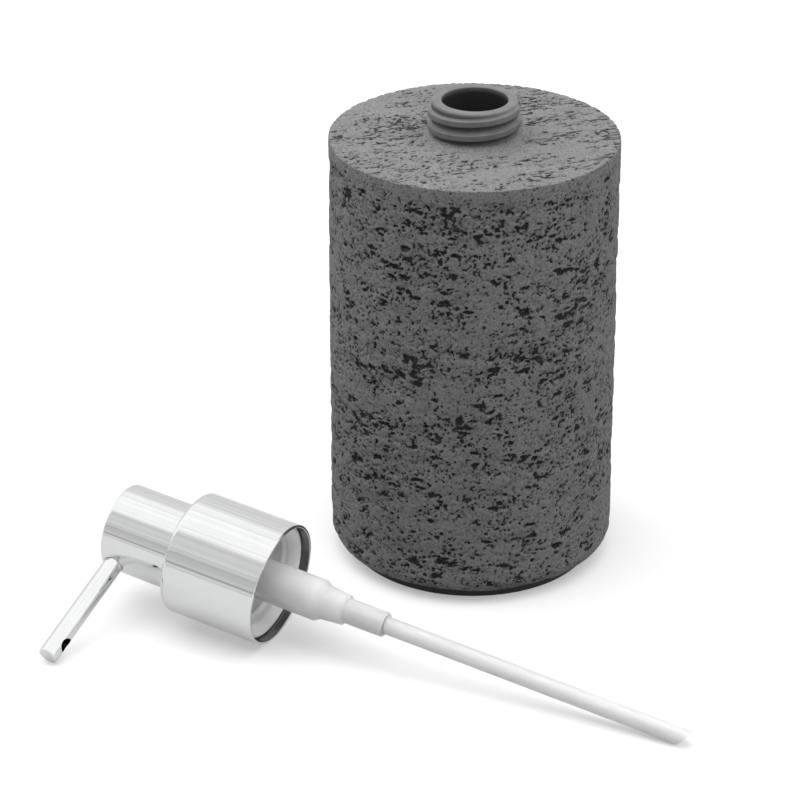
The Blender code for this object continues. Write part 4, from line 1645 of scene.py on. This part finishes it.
@dataclass
class Studio:
    """The pale floor, the soft lights and the camera."""

    eye: tuple[float, float, float] = (0.3788, -0.7993, 0.4869)
    subject: tuple[float, float, float] = (0.0, -0.04, 0.06)
    azimuth: float = 26.76
    pitch: float = 25.664
    lens: float = 147.3
    sensor: float = 36.0
    shift: float = -0.0559
    floor_reach: float = 3.0
    floor_seen: float = 0.46
    floor_glow: float = 0.34
    floor_mirrored: float = 0.28
    mirrored_glow: float = 0.30
    floor_bounce: float = 0.5
    front_sky: float = 0.2
    back_sky: float = 1.05
    band_full: float = 1.6
    bands: tuple[tuple[float, float], ...] = (
        (0.0, 0.85), (0.06, 0.80), (0.14, 0.86), (0.24, 0.92), (0.28, 1.13), (0.36, 1.22),
        (0.5, 1.27), (0.61, 1.22), (0.64, 1.10), (0.655, 0.76), (0.72, 0.82), (0.83, 0.76),
        (0.86, 0.62), (0.92, 0.66), (0.95, 0.68), (0.968, 0.42), (0.985, 0.80), (1.0, 0.88),
    )

    def build(self) -> None:
        """Builds the floor, lights and camera."""
        bpy.context.scene.view_settings.view_transform = "Standard"
        self.floor()
        self.world()
        self.softbox("overhead_softbox", (0.0, -0.25, 1.15), (2.0, 1.3), 3.4)
        self.softbox("left_softbox", (-1.3, 0.1, 0.7), (0.8, 1.0), 2.6)
        self.softbox("right_softbox", (1.3, 0.6, 0.7), (0.8, 1.0), 2.6)
        self.camera()

    def floor(self) -> None:
        """The floor, which isn't part of the object. It is pale where it is seen, and
        greyer in what it throws back on the object, as a smaller table would be."""
        shape = bmesh.new()
        bmesh.ops.create_grid(shape, x_segments=1, y_segments=1, size=self.floor_reach / MM)
        floor = as_object("studio_floor", shape, Matrix.Identity(4))
        recipe = Recipe("floor_looks")
        path = recipe.add("LightPath", {}).outputs
        thrown = recipe.mix(path["Is Glossy Ray"], grey(self.floor_bounce), grey(self.floor_mirrored))
        seen = recipe.math("MULTIPLY", path["Is Camera Ray"], self.floor_glow)
        mirrored = recipe.math("MULTIPLY", path["Is Glossy Ray"], self.mirrored_glow)
        glow = recipe.math("ADD", seen, mirrored)
        recipe.feed(
            recipe.shader,
            {
                "Base Color": recipe.mix(path["Is Camera Ray"], thrown, grey(self.floor_seen)),
                "Roughness": 1.0,
                "Specular IOR Level": 0.0,
                "Emission Color": grey(1.0),
                "Emission Strength": glow,
            },
        )
        floor.data.materials.append(recipe.material)

    def world(self) -> None:
        """A pale surround, brighter behind the object than in front, whose reflection
        is in soft bands about the pump's axis."""
        world = bpy.data.worlds.new("studio_world")
        world.use_nodes = True
        bpy.context.scene.world = world
        kit = NodeKit(world.node_tree)
        where = kit.add("TexCoord", {}).outputs["Generated"]
        ahead = (-math.sin(math.radians(self.azimuth)), math.cos(math.radians(self.azimuth)), 0.0)
        facing = kit.add("VectorMath", {0: where, 1: ahead}, operation="DOT_PRODUCT").outputs["Value"]
        lit = kit.ramp(facing, -0.9, 0.9, self.front_sky, self.back_sky)
        axes = kit.add("SeparateXYZ", {0: where}).outputs
        turn = kit.math("ARCTAN2", axes["Z"], axes["Y"])
        share = kit.math("DIVIDE", turn, math.pi)
        bands = kit.add("ValToRGB", {0: share})
        ramp = bands.color_ramp
        while len(ramp.elements) < len(self.bands):
            ramp.elements.new(1.0)
        for element, (at, level) in zip(ramp.elements, self.bands):
            element.position, element.color = at, grey(level / self.band_full)
        across = kit.add("CombineXYZ", {0: turn}).outputs[0]
        values = {"Vector": across, "Scale": 9.0, "Detail": 5.0, "Roughness": 0.75}
        streaks = kit.ramp(kit.add("TexNoise", values).outputs["Fac"], 0.3, 0.7, 1.1, 1.9)
        values = {0: bands.outputs["Color"], "Scale": streaks}
        mirrored = kit.add("VectorMath", values, operation="SCALE").outputs[0]
        path = kit.add("LightPath", {}).outputs
        shown = kit.mix(path["Is Glossy Ray"], lit, mirrored)
        kit.feed(kit.tree.nodes["Background"], {"Color": shown, "Strength": 1.0})

    def softbox(
        self, name: str, at: tuple[float, float, float], size: tuple[float, float], glow: float
    ) -> None:
        """A rectangular soft light aimed at the object.

        Args:
            name: Its name.
            at: Its centre.
            size: Its width and length in metres.
            glow: How bright its face is, whatever its size.
        """
        light = bpy.data.lights.new(name, "AREA")
        light.shape = "RECTANGLE"
        light.size, light.size_y = size
        light.energy = glow * math.pi * size[0] * size[1]
        holder = bpy.data.objects.new(name, light)
        holder.location = at
        holder.visible_glossy = False
        aim = Vector(self.subject) - Vector(at)
        holder.rotation_euler = aim.to_track_quat("-Z", "Y").to_euler()
        bpy.context.scene.collection.objects.link(holder)

    def camera(self) -> None:
        """The camera."""
        data = bpy.data.cameras.new("studio_camera")
        data.lens, data.sensor_width, data.shift_y = self.lens, self.sensor, self.shift
        holder = bpy.data.objects.new("studio_camera", data)
        holder.location = self.eye
        holder.rotation_euler = (math.radians(90 - self.pitch), 0.0, math.radians(self.azimuth))
        bpy.context.scene.collection.objects.link(holder)
        bpy.context.scene.camera = holder


def main() -> None:
    """Builds the dispenser and its studio, and reports each piece."""
    logging.basicConfig(level=logging.INFO, format="%(message)s")
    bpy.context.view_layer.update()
    # painted light: the top takes the wall's stone painted lighter, pits too, for the light falling
    # from above
    wall, sawn = StoneFinish().material(), StoneFinish("top_stone_painted_lighter_looks", 0.158, 0.012).material()
    neck = NeckFinish().material()
    chrome = MetalFinish("chrome_looks").material()
    # painted shade: a darker metal for the faces inside the collar's shell
    inside_shade_metal = MetalFinish("painted_inside_shade_metal_looks", 0.2, 0.14, 0.22).material()
    steel = MetalFinish("steel_looks", 0.55, 0.16, 0.28).material()
    white = PlasticFinish("white_plastic_looks", 0.80, 0.36, inner=0.5, depth=2.5).material()
    frosted = PlasticFinish("frosted_looks", 0.92, 0.5, through=0.4, inner=0.9, depth=8.0).material()
    clear = PlasticFinish(
        "tube_looks", 0.85, 0.32, through=0.45, inner=0.8, depth=5.0, relief=0.004
    ).material()
    foam = PlasticFinish("foam_looks", 0.72, 0.85, texture=0.12, relief=0.05).material()
    rubber = PlasticFinish("rubber_looks", 0.018, 0.62, relief=0.04).material()
    # dark plastic for the base plug, and painted shade inside the spout's bore
    dark = PlasticFinish("dark_plastic_and_bore_shade_looks", 0.02, 0.5).material()

    StoneBottle().build(wall, sawn, neck, rubber)
    painted("base_plug", dark)
    where = PumpFrame()
    Collar(where).build(chrome, inside_shade_metal, white)
    Housing(where).build(frosted, white, foam)
    DipTube(where).build(clear)
    PumpInside(where).build(white, steel, clear)
    Head(where).build(chrome, dark)
    Studio().build()


if __name__ == "__main__":
    main()
